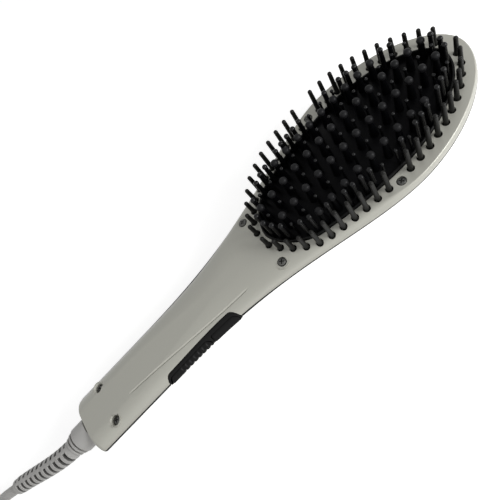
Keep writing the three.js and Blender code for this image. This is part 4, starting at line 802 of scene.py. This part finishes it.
# How far the rim bristles stand above the face
def rimHeight(x):
    s = rimSettings
    if x < shape["headWideX"]:
        rising = smooth(2 * (x - shape["rimNeckX"]) / (shape["headWideX"] - shape["rimNeckX"]))
        return mix(s["neckHeight"], s["midHeight"], rising)
    reach = shape["length"] - shape["rimInset"] - shape["headWideX"]
    return mix(s["midHeight"], s["tipHeight"], smooth((x - shape["headWideX"]) / reach))


rimSpots = rimPlaces()

# The place along the brush, the distance from its axis and the recess of each pair of screws
screwPairs = [
    (17.1, 10.5, 4.2), (135.5, 17, 1.8),
    (shape["headScrewX"], halfWidth(shape["headScrewX"]) - shape["headScrewInset"], 1.8),
]
screwSpots = [(x, side * y, shape["face"] - recess) for x, y, recess in screwPairs for side in (1, -1)]


# The control strip's outline, for which the shells leave room

stripSettings = {
    "start": 50.8, "end": 101.8, "half": 4, "rim": 0.8, "proud": 0.3, "pieceProud": 0.6, "gap": 0.3,
    "outside": -45, "inside": -5, "back": -12, "pieceBack": -12.6, "edge": 0.12, "buttonLength": 18,
    "buttonCorner": 0.6, "endGap": 0.7, "ribs": 6, "ribPitch": 3, "ribShift": 3.5, "grooveDepth": 0.55,
    "grooveWidth": 1.1, "grooveShare": 0.8, "round": 0.5, "endInset": 0.004,
    "rows": 25, "columns": 240, "ribColumns": 420,
}


# A bar with round ends that stands across the right-hand wall, from outside it to yIn
def stripBar(x0, x1, half, yIn, endRadius=None):
    steps = 16
    points = []
    left = min(endRadius or half, half)
    for k in range(steps + 1):
        a = -pi / 2 + k * pi / steps
        points.append((x1 - half + half * cos(a), half * sin(a)))
    for cz, first in ((half - left, pi / 2), (left - half, pi)):
        for k in range(steps // 2 + 1):
            a = first + k * pi / steps
            points.append((x0 + left + left * cos(a), cz + left * sin(a)))
    ends = (stripSettings["outside"], yIn)
    return ringsMesh("bar", [[at(x, y, shape["seam"] + z) for x, z in points] for y in ends])


# Housing shells

shellSettings = {
    "steps": 12, "edge": 0.12, "edgeAngle": 50, "openingBottom": 16, "cutTop": 27,
    "holeRadius": 1.95, "holeBottom": 21, "holeSides": 24, "bossRadius": 3.7, "bossDrop": 0.9, "floor": 1.8,
    "recessRadius": 2.5, "recessSides": 40, "endRecessRim": 3.5, "endRecessDrop": 1.1, "endRecessStep": 0.05,
    "neckHole": 4.6, "neckReach": (-2, 2.5), "stripReach": -8.4,
}
# Sizes of the black band at the seam, which is painted shade for the gap between the halves
seamShadeSettings = {"low": 0.12, "high": 1.15, "proud": 0.03, "depth": 0.6}
creaseSettings = {
    "from": (27, -6.2), "to": (119, -13.4), "steps": 40, "fadeSteps": 4, "depth": 0.6, "half": 0.7,
    "width": 8, "slope": 0.16, "lift": 0.4, "rim": 0.06, "clear": 2,
}


# One loop of the front half, at an angle round its curve
def frontRing(skin, angle):
    low = shape["seam"] + shape["seamHalfGap"]
    rise = shape["face"] - low - skin

    def inwardAt(x):
        return 1 - max(cos(angle), 0) ** (2 / fullnessAt(x))

    return bodyLoop(
        lambda x: skin + max(shoulderAt(x) - skin, shape["leastShoulder"]) * inwardAt(x),
        skin + max(shape["endRound"] - skin, shape["leastRound"]) * inwardAt(0),
        lambda x: low + rise * sin(angle) ** (2 / fullnessAt(x)),
    )


# One loop of the rear half, at a share u down its curve. It stands back a little behind
# the front half, which leaves a dark line at the seam
def rearRing(skin, u):
    high = shape["seam"] - shape["seamHalfGap"]
    start = max(skin, shape["shadowGap"])
    inward = 2 * u * (1 - u) * shape["bilgeSlope"] + u * u
    return bodyLoop(
        lambda x: start + (bilgeAt(x) - start) * inward,
        start + max(shape["endRound"] - start, shape["leastRound"]) * inward,
        lambda x: high - (high - skin) * (1 - (1 - u) ** 2),
    )


# Outer skin, inner skin and the edge between them, as one closed shell
def shellMesh(name, ringAt, reach):
    count = shellSettings["steps"]
    steps = [i / count * reach for i in range(count + 1)]
    outer = [ringAt(0, step) for step in steps]
    inner = [ringAt(shape["wall"], step) for step in steps]
    return ringsMesh(name, list(reversed(inner)) + outer)


# The window of the control strip and the hole of the collar's neck
def cutOpenings(piece, yIn):
    s = stripSettings
    gap = shape["gap"]
    carve(piece, stripBar(s["start"] - gap, s["end"] + gap, s["half"] + gap, yIn))
    hole = [(x, shellSettings["neckHole"]) for x in shellSettings["neckReach"]]
    carve(piece, turnedMesh("neck", hole, 0, shape["collarZ"]))


# A cone that opens the mouth of the recess of a screw at the handle's end
def recessRim(x, y):
    s = shellSettings
    gap = shape["gap"]
    top = faceZ(x, y)
    angles = [2 * pi * i / s["recessSides"] for i in range(s["recessSides"])]
    rings = [
        (s["recessRadius"] - s["endRecessStep"], top - s["endRecessDrop"]),
        (s["endRecessRim"] + gap, top + gap),
    ]
    return ringsMesh("rim", [[at(x + r * cos(a), y + r * sin(a), z) for a in angles] for r, z in rings])


# A black band along the seam, painted shade for the gap between the two halves, with room for the control
# strip and the collar
def makePaintedSeamShade():
    s = seamShadeSettings
    low, high = shape["seam"] + s["low"], shape["seam"] + s["high"]
    section = [(-s["proud"], low), (-s["proud"], high), (s["depth"], high), (s["depth"], low)]
    rings = [
        bodyLoop(lambda x, inset=inset: inset, max(inset, 0) + shape["gap"], lambda x, z=z: z)
        for inset, z in section
    ]
    band = newObject("paintedSeamShade", ringsMesh("paintedSeamShade", rings, hoop=True))
    cutOpenings(band, stripSettings["inside"])
    shade(band, 40)
    dress(band, "blackPlastic", [])


# What is cut out along the crease on the handle's face: a narrow groove, and beside it a slanted strip
# that reaches the side
def creaseMesh():
    s = creaseSettings
    (x0, y0), (x1, y1) = s["from"], s["to"]
    steps = s["steps"]
    rings = []
    for i in range(steps + 1):
        x, y = mix(x0, x1, i / steps), mix(y0, y1, i / steps)
        fade = smooth(min(i, steps - i) / s["fadeSteps"])
        top = faceZ(x, y)
        clear = top + s["clear"]
        lift = s["lift"] * (1 - fade)
        section = [
            (-s["width"], clear), (-s["width"], top - s["width"] * s["slope"] + lift),
            (-s["half"], top - s["half"] * s["slope"] + lift), (0, top - s["depth"] * fade + lift),
            (s["half"], top + s["rim"] + lift), (s["half"], clear),
        ]
        rings.append([at(x, y + across, z) for across, z in section])
    return ringsMesh("crease", rings)


def finishShell(shell, node):
    s = shellSettings
    cutOpenings(shell, s["stripReach"])
    soften(shell, s["edge"], s["edgeAngle"], 1)
    shade(shell, 30)
    dress(shell, "housingPaint", [node])


def makeFrontShell():
    s = shellSettings
    top = s["cutTop"]
    shell = newObject("frontHousing", shellMesh("frontHousing", frontRing, pi / 2))
    bossTop = shape["face"] - s["bossDrop"]
    bosses = [postMesh(x, y, seat - s["floor"], bossTop, s["bossRadius"]) for x, y, seat in screwSpots]
    carve(shell, joined("bosses", bosses), "UNION")
    opening = [headLoop(shape["openingInset"], z) for z in (s["openingBottom"], top)]
    carve(shell, ringsMesh("opening", opening))
    recesses = [postMesh(x, y, seat, top, s["recessRadius"], s["recessSides"]) for x, y, seat in screwSpots]
    carve(shell, joined("recesses", recesses))
    carve(shell, joined("rims", [recessRim(x, y) for x, y, seat in screwSpots[:2]]))
    carve(shell, creaseMesh())
    makePaintedSeamShade()
    holes = [postMesh(x, y, s["holeBottom"], top, s["holeRadius"], s["holeSides"]) for x, y in rimSpots]
    carve(shell, joined("holes", holes))
    finishShell(shell, "front_shell")


def makeRearShell():
    finishShell(newObject("rearHousing", shellMesh("rearHousing", rearRing, 1)), "rear_shell")


makeFrontShell()
makeRearShell()
print("Housing made")


# Points that hold one value each, grown into a piece by a node tree with its settings
def grownPiece(name, places, valueName, values, tree, settings):
    mesh = bpy.data.meshes.new(name)
    mesh.from_pydata([tuple(p) for p in places], [], [])
    held = mesh.attributes.new(valueName, "FLOAT", "POINT")
    for i, value in enumerate(values):
        held.data[i].value = value
    piece = newObject(name, mesh)
    modifier = piece.modifiers.new(tree.name, "NODES")
    modifier.node_group = tree
    keys = {item.name: item.identifier for item in tree.interface.items_tree if item.in_out == "INPUT"}
    for label, value in settings.items():
        modifier[keys[label]] = value
    applied(piece)
    return piece


# Studs: a tapered shaft on each place, with its own height and a rounded end

def studTree():
    tree, given, out = groupWith(
        "Geometry", "studs",
        {"Places": "Geometry", "Foot Radius": 0, "Neck Radius": 0, "End Radius": 0, "End Stretch": 0,
         "Sides": "Int", "Shaft Material": "Material", "End Material": "Material"},
        {"Studs": "Geometry"},
    )
    height = addNode(tree, "GeometryNodeInputNamedAttribute", data_type="FLOAT", Name="height")
    cone = addNode(tree, "GeometryNodeMeshCone", Depth=1.0)
    stretch = addNode(tree, "ShaderNodeCombineXYZ", X=1.0, Y=1.0)
    shafts = addNode(tree, "GeometryNodeInstanceOnPoints")
    shaftPaint = addNode(tree, "GeometryNodeSetMaterial")
    lift = addNode(tree, "ShaderNodeCombineXYZ")
    raised = addNode(tree, "GeometryNodeSetPosition")
    ball = addNode(tree, "GeometryNodeMeshUVSphere", Rings=10)
    tall = addNode(tree, "ShaderNodeCombineXYZ", X=1.0, Y=1.0)
    ends = addNode(tree, "GeometryNodeInstanceOnPoints")
    endPaint = addNode(tree, "GeometryNodeSetMaterial")
    both = addNode(tree, "GeometryNodeJoinGeometry")
    whole = addNode(tree, "GeometryNodeRealizeInstances")
    connect(
        tree,
        (given, "Sides", cone, "Vertices"), (given, "Foot Radius", cone, "Radius Bottom"),
        (given, "Neck Radius", cone, "Radius Top"), (height, "Attribute", stretch, "Z"),
        (given, "Places", shafts, "Points"), (cone, "Mesh", shafts, "Instance"),
        (stretch, 0, shafts, "Scale"), (shafts, 0, shaftPaint, "Geometry"),
        (given, "Shaft Material", shaftPaint, "Material"), (height, "Attribute", lift, "Z"),
        (given, "Places", raised, "Geometry"), (lift, 0, raised, "Offset"),
        (given, "Sides", ball, "Segments"), (given, "End Radius", ball, "Radius"),
        (given, "End Stretch", tall, "Z"), (raised, 0, ends, "Points"), (ball, "Mesh", ends, "Instance"),
        (tall, 0, ends, "Scale"), (ends, 0, endPaint, "Geometry"),
        (given, "End Material", endPaint, "Material"), (shaftPaint, 0, both, 0), (endPaint, 0, both, 0),
        (both, 0, whole, 0), (whole, 0, out, "Studs"),
    )
    return tree


studs = studTree()


# Spots are places with the heights of the shaft's foot and of the rounded end's centre
def makeStuds(name, spots, settings, shaftMaterial, endMaterial, nodes):
    radii = {label: settings[label] * mm for label in ("Foot Radius", "Neck Radius", "End Radius")}
    places = [at(x, y, z) for x, y, z, top in spots]
    piece = grownPiece(name, places, "height", [(top - z) * mm for x, y, z, top in spots], studs, {
        **radii, "End Stretch": settings["End Stretch"], "Sides": settings["Sides"],
        "Shaft Material": materials[shaftMaterial], "End Material": materials[endMaterial],
    })
    shade(piece, 40)
    dress(piece, None, nodes)


def makeRimBristles():
    s = rimSettings
    for label, towardsTip in (("neck", False), ("tip", True)):
        spots = [
            (x, y, s["footZ"], shape["face"] + rimHeight(x) - s["End Radius"])
            for x, y in rimSpots if (x > shape["headScrewX"]) == towardsTip
        ]
        makeStuds(
            f"rimBristles{label.title()}", spots, s, "nylon", "nylon", [f"rim_bristles_{label}"],
        )


makeRimBristles()
print("Rim bristles made:", len(rimSpots))


# Plate, teeth and pins

plateSettings = {
    "inset": 11.9, "edgeZ": 23.5, "bottomZ": 22, "crown": 4.4, "toothPitch": 8.6, "rowPitch": 6.45,
    "shiftX": 1.6, "rows": 6, "columns": 32, "rings": 25, "sunk": 0.4, "edgeRound": 0.3,
    "toothRoom": 2.6, "toothReach": 11.8, "pinRoom": 1.1, "pinReach": 11.2,
    "edgePins": 29, "edgePinInset": 1.6, "edgePinEnds": 6, "edgePinRoom": 3.7, "edgePinReach": 14.5,
}
plateSide = headHalf(plateSettings["inset"], False)
plateLoop = [(x, -y) for x, y in plateSide] + plateSide[-2:0:-1]
plateCentreX = (plateLoop[0][0] + shape["length"] - plateSettings["inset"]) / 2


def edgesOf(loop):
    return zip(loop, loop[1:] + loop[:1])


# 0 in the middle of the plate, 1 on its outline
def plateReach(x, y):
    reach = 0
    for (ax, ay), (bx, by) in edgesOf(plateLoop):
        nx, ny = by - ay, ax - bx
        edge = nx * (ax - plateCentreX) + ny * ay
        reach = max(reach, (nx * (x - plateCentreX) + ny * y) / edge)
    return reach


def plateTop(x, y):
    return plateSettings["edgeZ"] + plateSettings["crown"] * (1 - plateReach(x, y) ** 2)


def liesInPlate(x, y, room):
    for (ax, ay), (bx, by) in edgesOf(plateLoop):
        inside = ((bx - ax) * (y - ay) - (by - ay) * (x - ax)) / hypot(bx - ax, by - ay)
        if inside <= room:
            return False
    return True


# Rows of teeth with rows of pins between them, every second pair half a pitch on
def latticeSpots(wantTeeth, room):
    s = plateSettings
    spots = []
    for row in range(-s["rows"], s["rows"] + 1):
        shift = 0 if abs(floor((3 - row) / 2)) % 2 == 0 else 0.5
        for column in range(-s["columns"], s["columns"] + 1):
            x = shape["headWideX"] + s["shiftX"] + (column + shift) * s["toothPitch"]
            y = row * s["rowPitch"]
            if (row % 2 == 1) == wantTeeth and liesInPlate(x, y, room):
                spots.append((x, y, plateTop(x, y)))
    return spots


def makePlate():
    s = plateSettings
    outline = headLoop(s["inset"], 0)
    rings = [[Vector((p.x, p.y, s["bottomZ"] * mm)) for p in outline]]
    middle = at(plateCentreX, 0, 0)
    for k in range(s["rings"]):
        share = 1 - k / (s["rings"] + 0.5)
        z = (s["edgeZ"] + s["crown"] * (1 - share * share)) * mm
        rings.append([Vector((middle.x + (p.x - middle.x) * share, p.y * share, z)) for p in outline])
    piece = newObject("heatedPlate", ringsMesh("heatedPlate", rings))
    soften(piece, s["edgeRound"], 50)
    shade(piece, 40)
    dress(piece, "plateCoating", ["heating_plate"])


toothSettings = {"Foot Radius": 2.2, "Neck Radius": 1.3, "End Radius": 2.05, "End Stretch": 0.95, "Sides": 28}
pinSettings = {"Foot Radius": 0.65, "Neck Radius": 0.6, "End Radius": 1.0, "End Stretch": 1.0, "Sides": 16}
edgeSettings = {"Foot Radius": 1.6, "Neck Radius": 1.15, "End Radius": 1.45, "End Stretch": 1.0, "Sides": 20}

# A row of stouter pins just inside the plate's edge, wherever the lattice leaves room
def edgePins(taken):
    s = plateSettings
    spots = []
    ends = s["edgePinEnds"]
    for x, y in placesAlong(s["inset"] + s["edgePinInset"], s["edgePins"], ends, ends):
        if all(hypot(x - other[0], y - other[1]) > s["edgePinRoom"] for other in taken):
            spots.append((x, y, plateTop(x, y)))
    return spots


# Places on the plate as spots, with the foot sunk into it
def standing(places, reach):
    return [(x, y, z - plateSettings["sunk"], z + plateSettings[reach]) for x, y, z in places]


makePlate()
toothPlaces = latticeSpots(True, plateSettings["toothRoom"])
pinPlaces = latticeSpots(False, plateSettings["pinRoom"])
edgePlaces = edgePins(toothPlaces + pinPlaces)
makeStuds(
    "heatedTeeth", standing(toothPlaces, "toothReach"), toothSettings, "plateCoating", "capPlastic",
    [],
)
makeStuds(
    "ballPins", standing(pinPlaces, "pinReach"), pinSettings, "pinNylon", "pinNylon",
    ["pin_carrier"],
)
makeStuds("edgePins", standing(edgePlaces, "edgePinReach"), edgeSettings, "pinNylon", "pinNylon", [])
print("Teeth and pins made:", len(toothPlaces), len(pinPlaces), len(edgePlaces))


# Frame round the plate

surroundSettings = {
    "lip": 1, "top": 26.2, "bottom": 19.8, "ledge": 21.7, "shelf": 1.8, "flange": 4, "flangeTop": 21,
    "round": 0.3, "roundPart": 0.1, "screwRoom": 4, "roomReach": (18, 22.6),
}


def makeSurround():
    s = surroundSettings
    top, edge, part = s["top"], s["round"], s["roundPart"]
    out = shape["openingInset"] + shape["gap"]
    inner = out + s["lip"]
    section = [
        (out - s["flange"], s["bottom"]), (out - s["flange"], s["flangeTop"]), (out, s["flangeTop"]),
        (out, top - edge), (out + part, top - part), (out + edge, top),
        (inner - edge, top), (inner - part, top - part), (inner, top - edge),
        (inner, s["ledge"]), (inner + s["shelf"], s["ledge"]), (inner + s["shelf"], s["bottom"]),
    ]
    piece = newObject("plateFrame", ringsMesh("plateFrame", [headLoop(i, z) for i, z in section], hoop=True))
    rooms = [postMesh(x, y, *s["roomReach"], s["screwRoom"]) for x, y, seat in screwSpots]
    carve(piece, joined("rooms", rooms))
    shade(piece, 40)
    dress(piece, "blackPlastic", ["plate_surround"])


makeSurround()
print("Plate frame made")


# Screws with a cross in a domed head

screwSettings = {
    "radius": 2.2, "height": 1.6, "arm": 1.35, "slot": 0.6, "depth": 1.0, "taper": 0.94, "straight": 0.7,
    "domeHeight": 0.21, "turns": (20, 65, 10, 48, 75, 31),
}


def screwTree():
    s = screwSettings
    tree, given, out = groupWith(
        "Geometry", "crossHeadScrews",
        {"Places": "Geometry", "Head Radius": 0, "Head Height": 0, "Arm Length": 0, "Slot Width": 0,
         "Slot Depth": 0, "Material": "Material"},
        {"Screws": "Geometry"},
    )

    def times(label, value):
        node = addNode(tree, "ShaderNodeMath", operation="MULTIPLY")
        node.inputs[1].default_value = value
        connect(tree, (given, label, node, 0))
        return node

    body = addNode(tree, "GeometryNodeMeshCone", Vertices=48)
    dome = addNode(tree, "GeometryNodeMeshUVSphere", Segments=48, Rings=24)
    flat = addNode(tree, "ShaderNodeCombineXYZ", X=s["taper"], Y=s["taper"], Z=s["domeHeight"])
    lift = addNode(tree, "ShaderNodeCombineXYZ")
    placed = addNode(tree, "GeometryNodeTransform")
    head = addNode(tree, "GeometryNodeMeshBoolean", operation="UNION")
    cut = addNode(tree, "GeometryNodeMeshBoolean", operation="DIFFERENCE")
    connect(
        tree,
        (given, "Head Radius", body, "Radius Bottom"),
        (times("Head Radius", s["taper"]), 0, body, "Radius Top"),
        (times("Head Height", s["straight"]), 0, body, "Depth"), (given, "Head Radius", dome, "Radius"),
        (times("Head Height", s["straight"]), 0, lift, "Z"), (dome, "Mesh", placed, "Geometry"),
        (lift, 0, placed, "Translation"), (flat, 0, placed, "Scale"),
        (body, "Mesh", head, "Mesh 2"), (placed, 0, head, "Mesh 2"), (head, 0, cut, "Mesh 1"),
    )
    for first, second in (("X", "Y"), ("Y", "X")):
        size = addNode(tree, "ShaderNodeCombineXYZ")
        arm = addNode(tree, "GeometryNodeMeshCube")
        high = addNode(tree, "ShaderNodeCombineXYZ")
        raised = addNode(tree, "GeometryNodeTransform")
        connect(
            tree,
            (times("Arm Length", 2), 0, size, first), (given, "Slot Width", size, second),
            (times("Slot Depth", 2), 0, size, "Z"), (size, 0, arm, "Size"), (given, "Head Height", high, "Z"),
            (arm, "Mesh", raised, "Geometry"), (high, 0, raised, "Translation"), (raised, 0, cut, "Mesh 2"),
        )
    spread = addNode(tree, "GeometryNodeInstanceOnPoints")
    turn = addNode(tree, "GeometryNodeInputNamedAttribute", data_type="FLOAT", Name="turn")
    spin = addNode(tree, "ShaderNodeCombineXYZ")
    whole = addNode(tree, "GeometryNodeRealizeInstances")
    paint = addNode(tree, "GeometryNodeSetMaterial")
    connect(
        tree,
        (given, "Places", spread, "Points"), (cut, 0, spread, "Instance"), (turn, "Attribute", spin, "Z"),
        (spin, 0, spread, "Rotation"), (spread, 0, whole, 0), (whole, 0, paint, "Geometry"),
        (given, "Material", paint, "Material"), (paint, 0, out, "Screws"),
    )
    return tree


def makeScrews():
    s = screwSettings
    places = [at(x, y, seat + shape["gap"]) for x, y, seat in screwSpots]
    piece = grownPiece("housingScrews", places, "turn", [radians(a) for a in s["turns"]], screwTree(), {
        "Head Radius": s["radius"] * mm, "Head Height": s["height"] * mm, "Arm Length": s["arm"] * mm,
        "Slot Width": s["slot"] * mm, "Slot Depth": s["depth"] * mm, "Material": materials["screwSteel"],
    })
    shade(piece, 35)
    dress(piece, None, [f"housing_screw_{i}" for i in range(1, 7)])


makeScrews()
print("Screws made:", len(screwSpots))


# Control strip

# A closed cap whose outer face follows the side wall, with a rounded border
def capMesh(name, x0, x1, half, proud, back, columns, endRadius=None, dipAt=None):
    left = min(endRadius or half, half)
    rows = stripSettings["rows"]
    edge = stripSettings["round"]
    inset = stripSettings["endInset"]

    def halfAt(x):
        if x > x1 - half:
            return (max(half ** 2 - (x - x1 + half) ** 2, 0)) ** 0.5
        if x < x0 + left:
            return half - left + (max(left ** 2 - (x0 + left - x) ** 2, 0)) ** 0.5
        return half

    top = []
    for i in range(columns + 1):
        x = mix(x0 + inset, x1 - inset, i / columns)
        reach = halfAt(x)
        line = []
        for j in range(rows):
            v = -cos(pi * j / (rows - 1))
            z = reach * v
            border = min(reach - abs(z), x - x0, x1 - x)
            drop = edge * (1 - (1 - max(1 - border / edge, 0) ** 2) ** 0.5)
            dip = dipAt(x) if dipAt else 0
            line.append((x, sideY(x, z, proud) + drop + dip, z))
        top.append(line)
    points = [at(x, y, shape["seam"] + z) for line in top for x, y, z in line]
    base = len(points)
    points += [at(x, back, shape["seam"] + z) for line in top for x, y, z in line]
    faces = []
    for i in range(columns):
        for j in range(rows - 1):
            a = i * rows + j
            quad = (a, a + 1, a + rows + 1, a + rows)
            faces.append(quad)
            faces.append(tuple(base + k for k in quad))
    for i in range(columns):
        for j in (0, rows - 1):
            a = i * rows + j
            faces.append((a, a + rows, base + a + rows, base + a))
    for i in (0, columns):
        for j in range(rows - 1):
            a = i * rows + j
            faces.append((a, a + 1, base + a + 1, base + a))
    return meshFrom(name, points, faces)


def makeStrip():
    s = stripSettings
    window = s["half"] - s["rim"]
    pieceHalf = window - s["gap"]
    split = s["end"] - s["rim"] - s["buttonLength"]
    buttonEnd = s["end"] - s["rim"]
    rockerStart = s["start"] + s["rim"]
    rockerEnd = split - s["rim"]
    middle = (rockerStart + rockerEnd) / 2 + s["ribShift"]

    def ribDip(x):
        place = (x - middle) / s["ribPitch"] + s["ribs"] / 2
        if place < -0.5 or place > s["ribs"] + 0.5:
            return 0
        away = abs(place - round(place)) * s["ribPitch"]
        return s["grooveDepth"] * smooth((s["grooveWidth"] - away) / (s["grooveWidth"] * s["grooveShare"]))

    bezel = newObject("controlFrame", capMesh(
        "controlFrame", s["start"], s["end"], s["half"], s["proud"], s["back"], s["columns"],
    ))
    carve(bezel, stripBar(rockerStart, rockerEnd, window, s["inside"]))
    carve(bezel, stripBar(split, buttonEnd, window, s["inside"], s["buttonCorner"]))
    soften(bezel, s["edge"], 50, 2)
    shade(bezel, 35)
    dress(bezel, "blackPlastic", ["control_bezel"])
    button = newObject("powerButton", capMesh(
        "powerButton", split + s["gap"], buttonEnd - s["gap"], pieceHalf, s["pieceProud"], s["pieceBack"],
        s["columns"], s["buttonCorner"],
    ))
    shade(button, 40)
    dress(button, "blackPlastic", ["power_button"], "power_button")
    rocker = newObject("temperatureRocker", capMesh(
        "temperatureRocker", rockerStart + s["endGap"], rockerEnd - s["endGap"], pieceHalf, s["pieceProud"],
        s["pieceBack"], s["ribColumns"], None, ribDip,
    ))
    shade(rocker, 40)
    dress(rocker, "blackPlastic", ["temperature_rocker"], "temperature_rocker")


makeStrip()
print("Control strip made")


# Swivelling collar

# Pairs of place and radius, those outside counted from the collar's outer end
collarSettings = {
    "length": 15,
    "outside": [
        (0, 5.1), (0, 5.7), (0.15, 5.9), (1.15, 6.05), (1.3, 5.9), (1.3, 4.5), (2.6, 4.5), (2.6, 6.55),
        (2.75, 6.75), (3.75, 6.85), (3.9, 6.7), (3.9, 4.85), (5.2, 4.85), (5.2, 7.25), (5.45, 7.55),
        (6.2, 7.6),
    ],
    "inside": [
        (-0.7, 7.6), (-0.4, 7.5), (-0.3, 7.25), (-0.3, 4.3), (2.5, 4.3), (2.5, 5.2), (4.7, 5.2), (4.7, 3),
        (16.7, 3),
    ],
}


def makeCollar():
    s = collarSettings
    profile = [(x - s["length"], r) for x, r in s["outside"]] + s["inside"]
    piece = newObject("swivelCollar", turnedMesh("swivelCollar", profile, 0, shape["collarZ"]))
    shade(piece, 35)
    dress(piece, "cordPlastic", ["swivel_collar"], "swivel")


makeCollar()
print("Collar made")


# CAD nodes that stay as they are get their finishes

slotMaterials = {
    "bright_steel": "brightSteel", "brass": "brass", "ceramic": "ceramic", "mica": "mica",
    "board": "boardMask", "component": "epoxy", "lead": "leadSilicone", "housing": "housingPaint",
    "plate_coating": "plateCoating", "nylon": "nylon", "black_plastic": "blackPlastic",
    "dark_steel": "screwSteel", "cord_plastic": "cordPlastic",
}
nodeSlots = {row["node"]: row["material_slot"] for row in frame["record"]["subparts"]}
for nodeName in frame["nodes"]:
    node = bpy.data.objects[nodeName]
    node.data.materials.clear()
    node.data.materials.append(materials[slotMaterials[nodeSlots[nodeName]]])
print("Finishes on the kept nodes:", len(frame["nodes"]))


# Floor, light and background

stageSettings = {
    "floorTone": (0.8, 0.8, 0.8), "floorGlow": 0.66, "lift": 0.37, "backdrop": 1.0,
    "floorSize": 4, "floorZ": -0.0002,
    "lights": [
        ("key", (0.38, -0.36, 0.23), (0.07, 0, 0.02), 0.3, 2.5),
        ("fill", (-0.3, -0.7, 0.5), (0, 0, 0.02), 0.7, 1.0),
    ],
}


# 1 for the rays that see the background itself, 0 for those that light the object
def seenDirectly(tree):
    path = addNode(tree, "ShaderNodeLightPath")
    total = (path, "Is Camera Ray")
    for label in ("Is Glossy Ray", "Is Transmission Ray"):
        either = addNode(tree, "ShaderNodeMath", operation="MAXIMUM")
        connect(tree, (*total, either, 0), (path, label, either, 1))
        total = (either, 0)
    return total


def makeFloor():
    size, z = stageSettings["floorSize"], stageSettings["floorZ"]
    corners = [(-size, -size, z), (size, -size, z), (size, size, z), (-size, size, z)]
    mesh = bpy.data.meshes.new("floor")
    mesh.from_pydata(corners, [], [(0, 1, 2, 3)])
    floor = newObject("floor", mesh)
    material = bpy.data.materials.new("floorPaper")
    material.use_nodes = True
    tree = material.node_tree
    shader = tree.nodes["Principled BSDF"]
    shader.inputs["Base Color"].default_value = (*stageSettings["floorTone"], 1)
    shader.inputs["Roughness"].default_value = 0.9
    shader.inputs["Specular IOR Level"].default_value = 0
    shader.inputs["Emission Color"].default_value = (1, 1, 1, 1)
    glow = addNode(tree, "ShaderNodeMath", operation="MULTIPLY")
    glow.inputs[1].default_value = stageSettings["floorGlow"]
    connect(tree, (*seenDirectly(tree), glow, 0), (glow, 0, shader, "Emission Strength"))
    mesh.materials.append(material)


def makeLights():
    for name, place, target, size, power in stageSettings["lights"]:
        lamp = bpy.data.lights.new(name, "AREA")
        lamp.shape = "SQUARE"
        lamp.size = size
        lamp.energy = power
        light = newObject(name, lamp)
        light.location = place
        light.rotation_euler = (Vector(target) - Vector(place)).to_track_quat("-Z", "Y").to_euler()


def makeWorld():
    world = bpy.data.worlds.new("studio")
    bpy.context.scene.world = world
    world.use_nodes = True
    tree = world.node_tree
    background = tree.nodes["Background"]
    background.inputs["Color"].default_value = (1, 1, 1, 1)
    tones = {"To_Min": stageSettings["lift"], "To_Max": stageSettings["backdrop"]}
    strength = addNode(tree, "ShaderNodeMapRange", **tones)
    connect(tree, (*seenDirectly(tree), strength, "Value"), (strength, "Result", background, "Strength"))


makeFloor()
makeLights()
makeWorld()
print("Stage set")
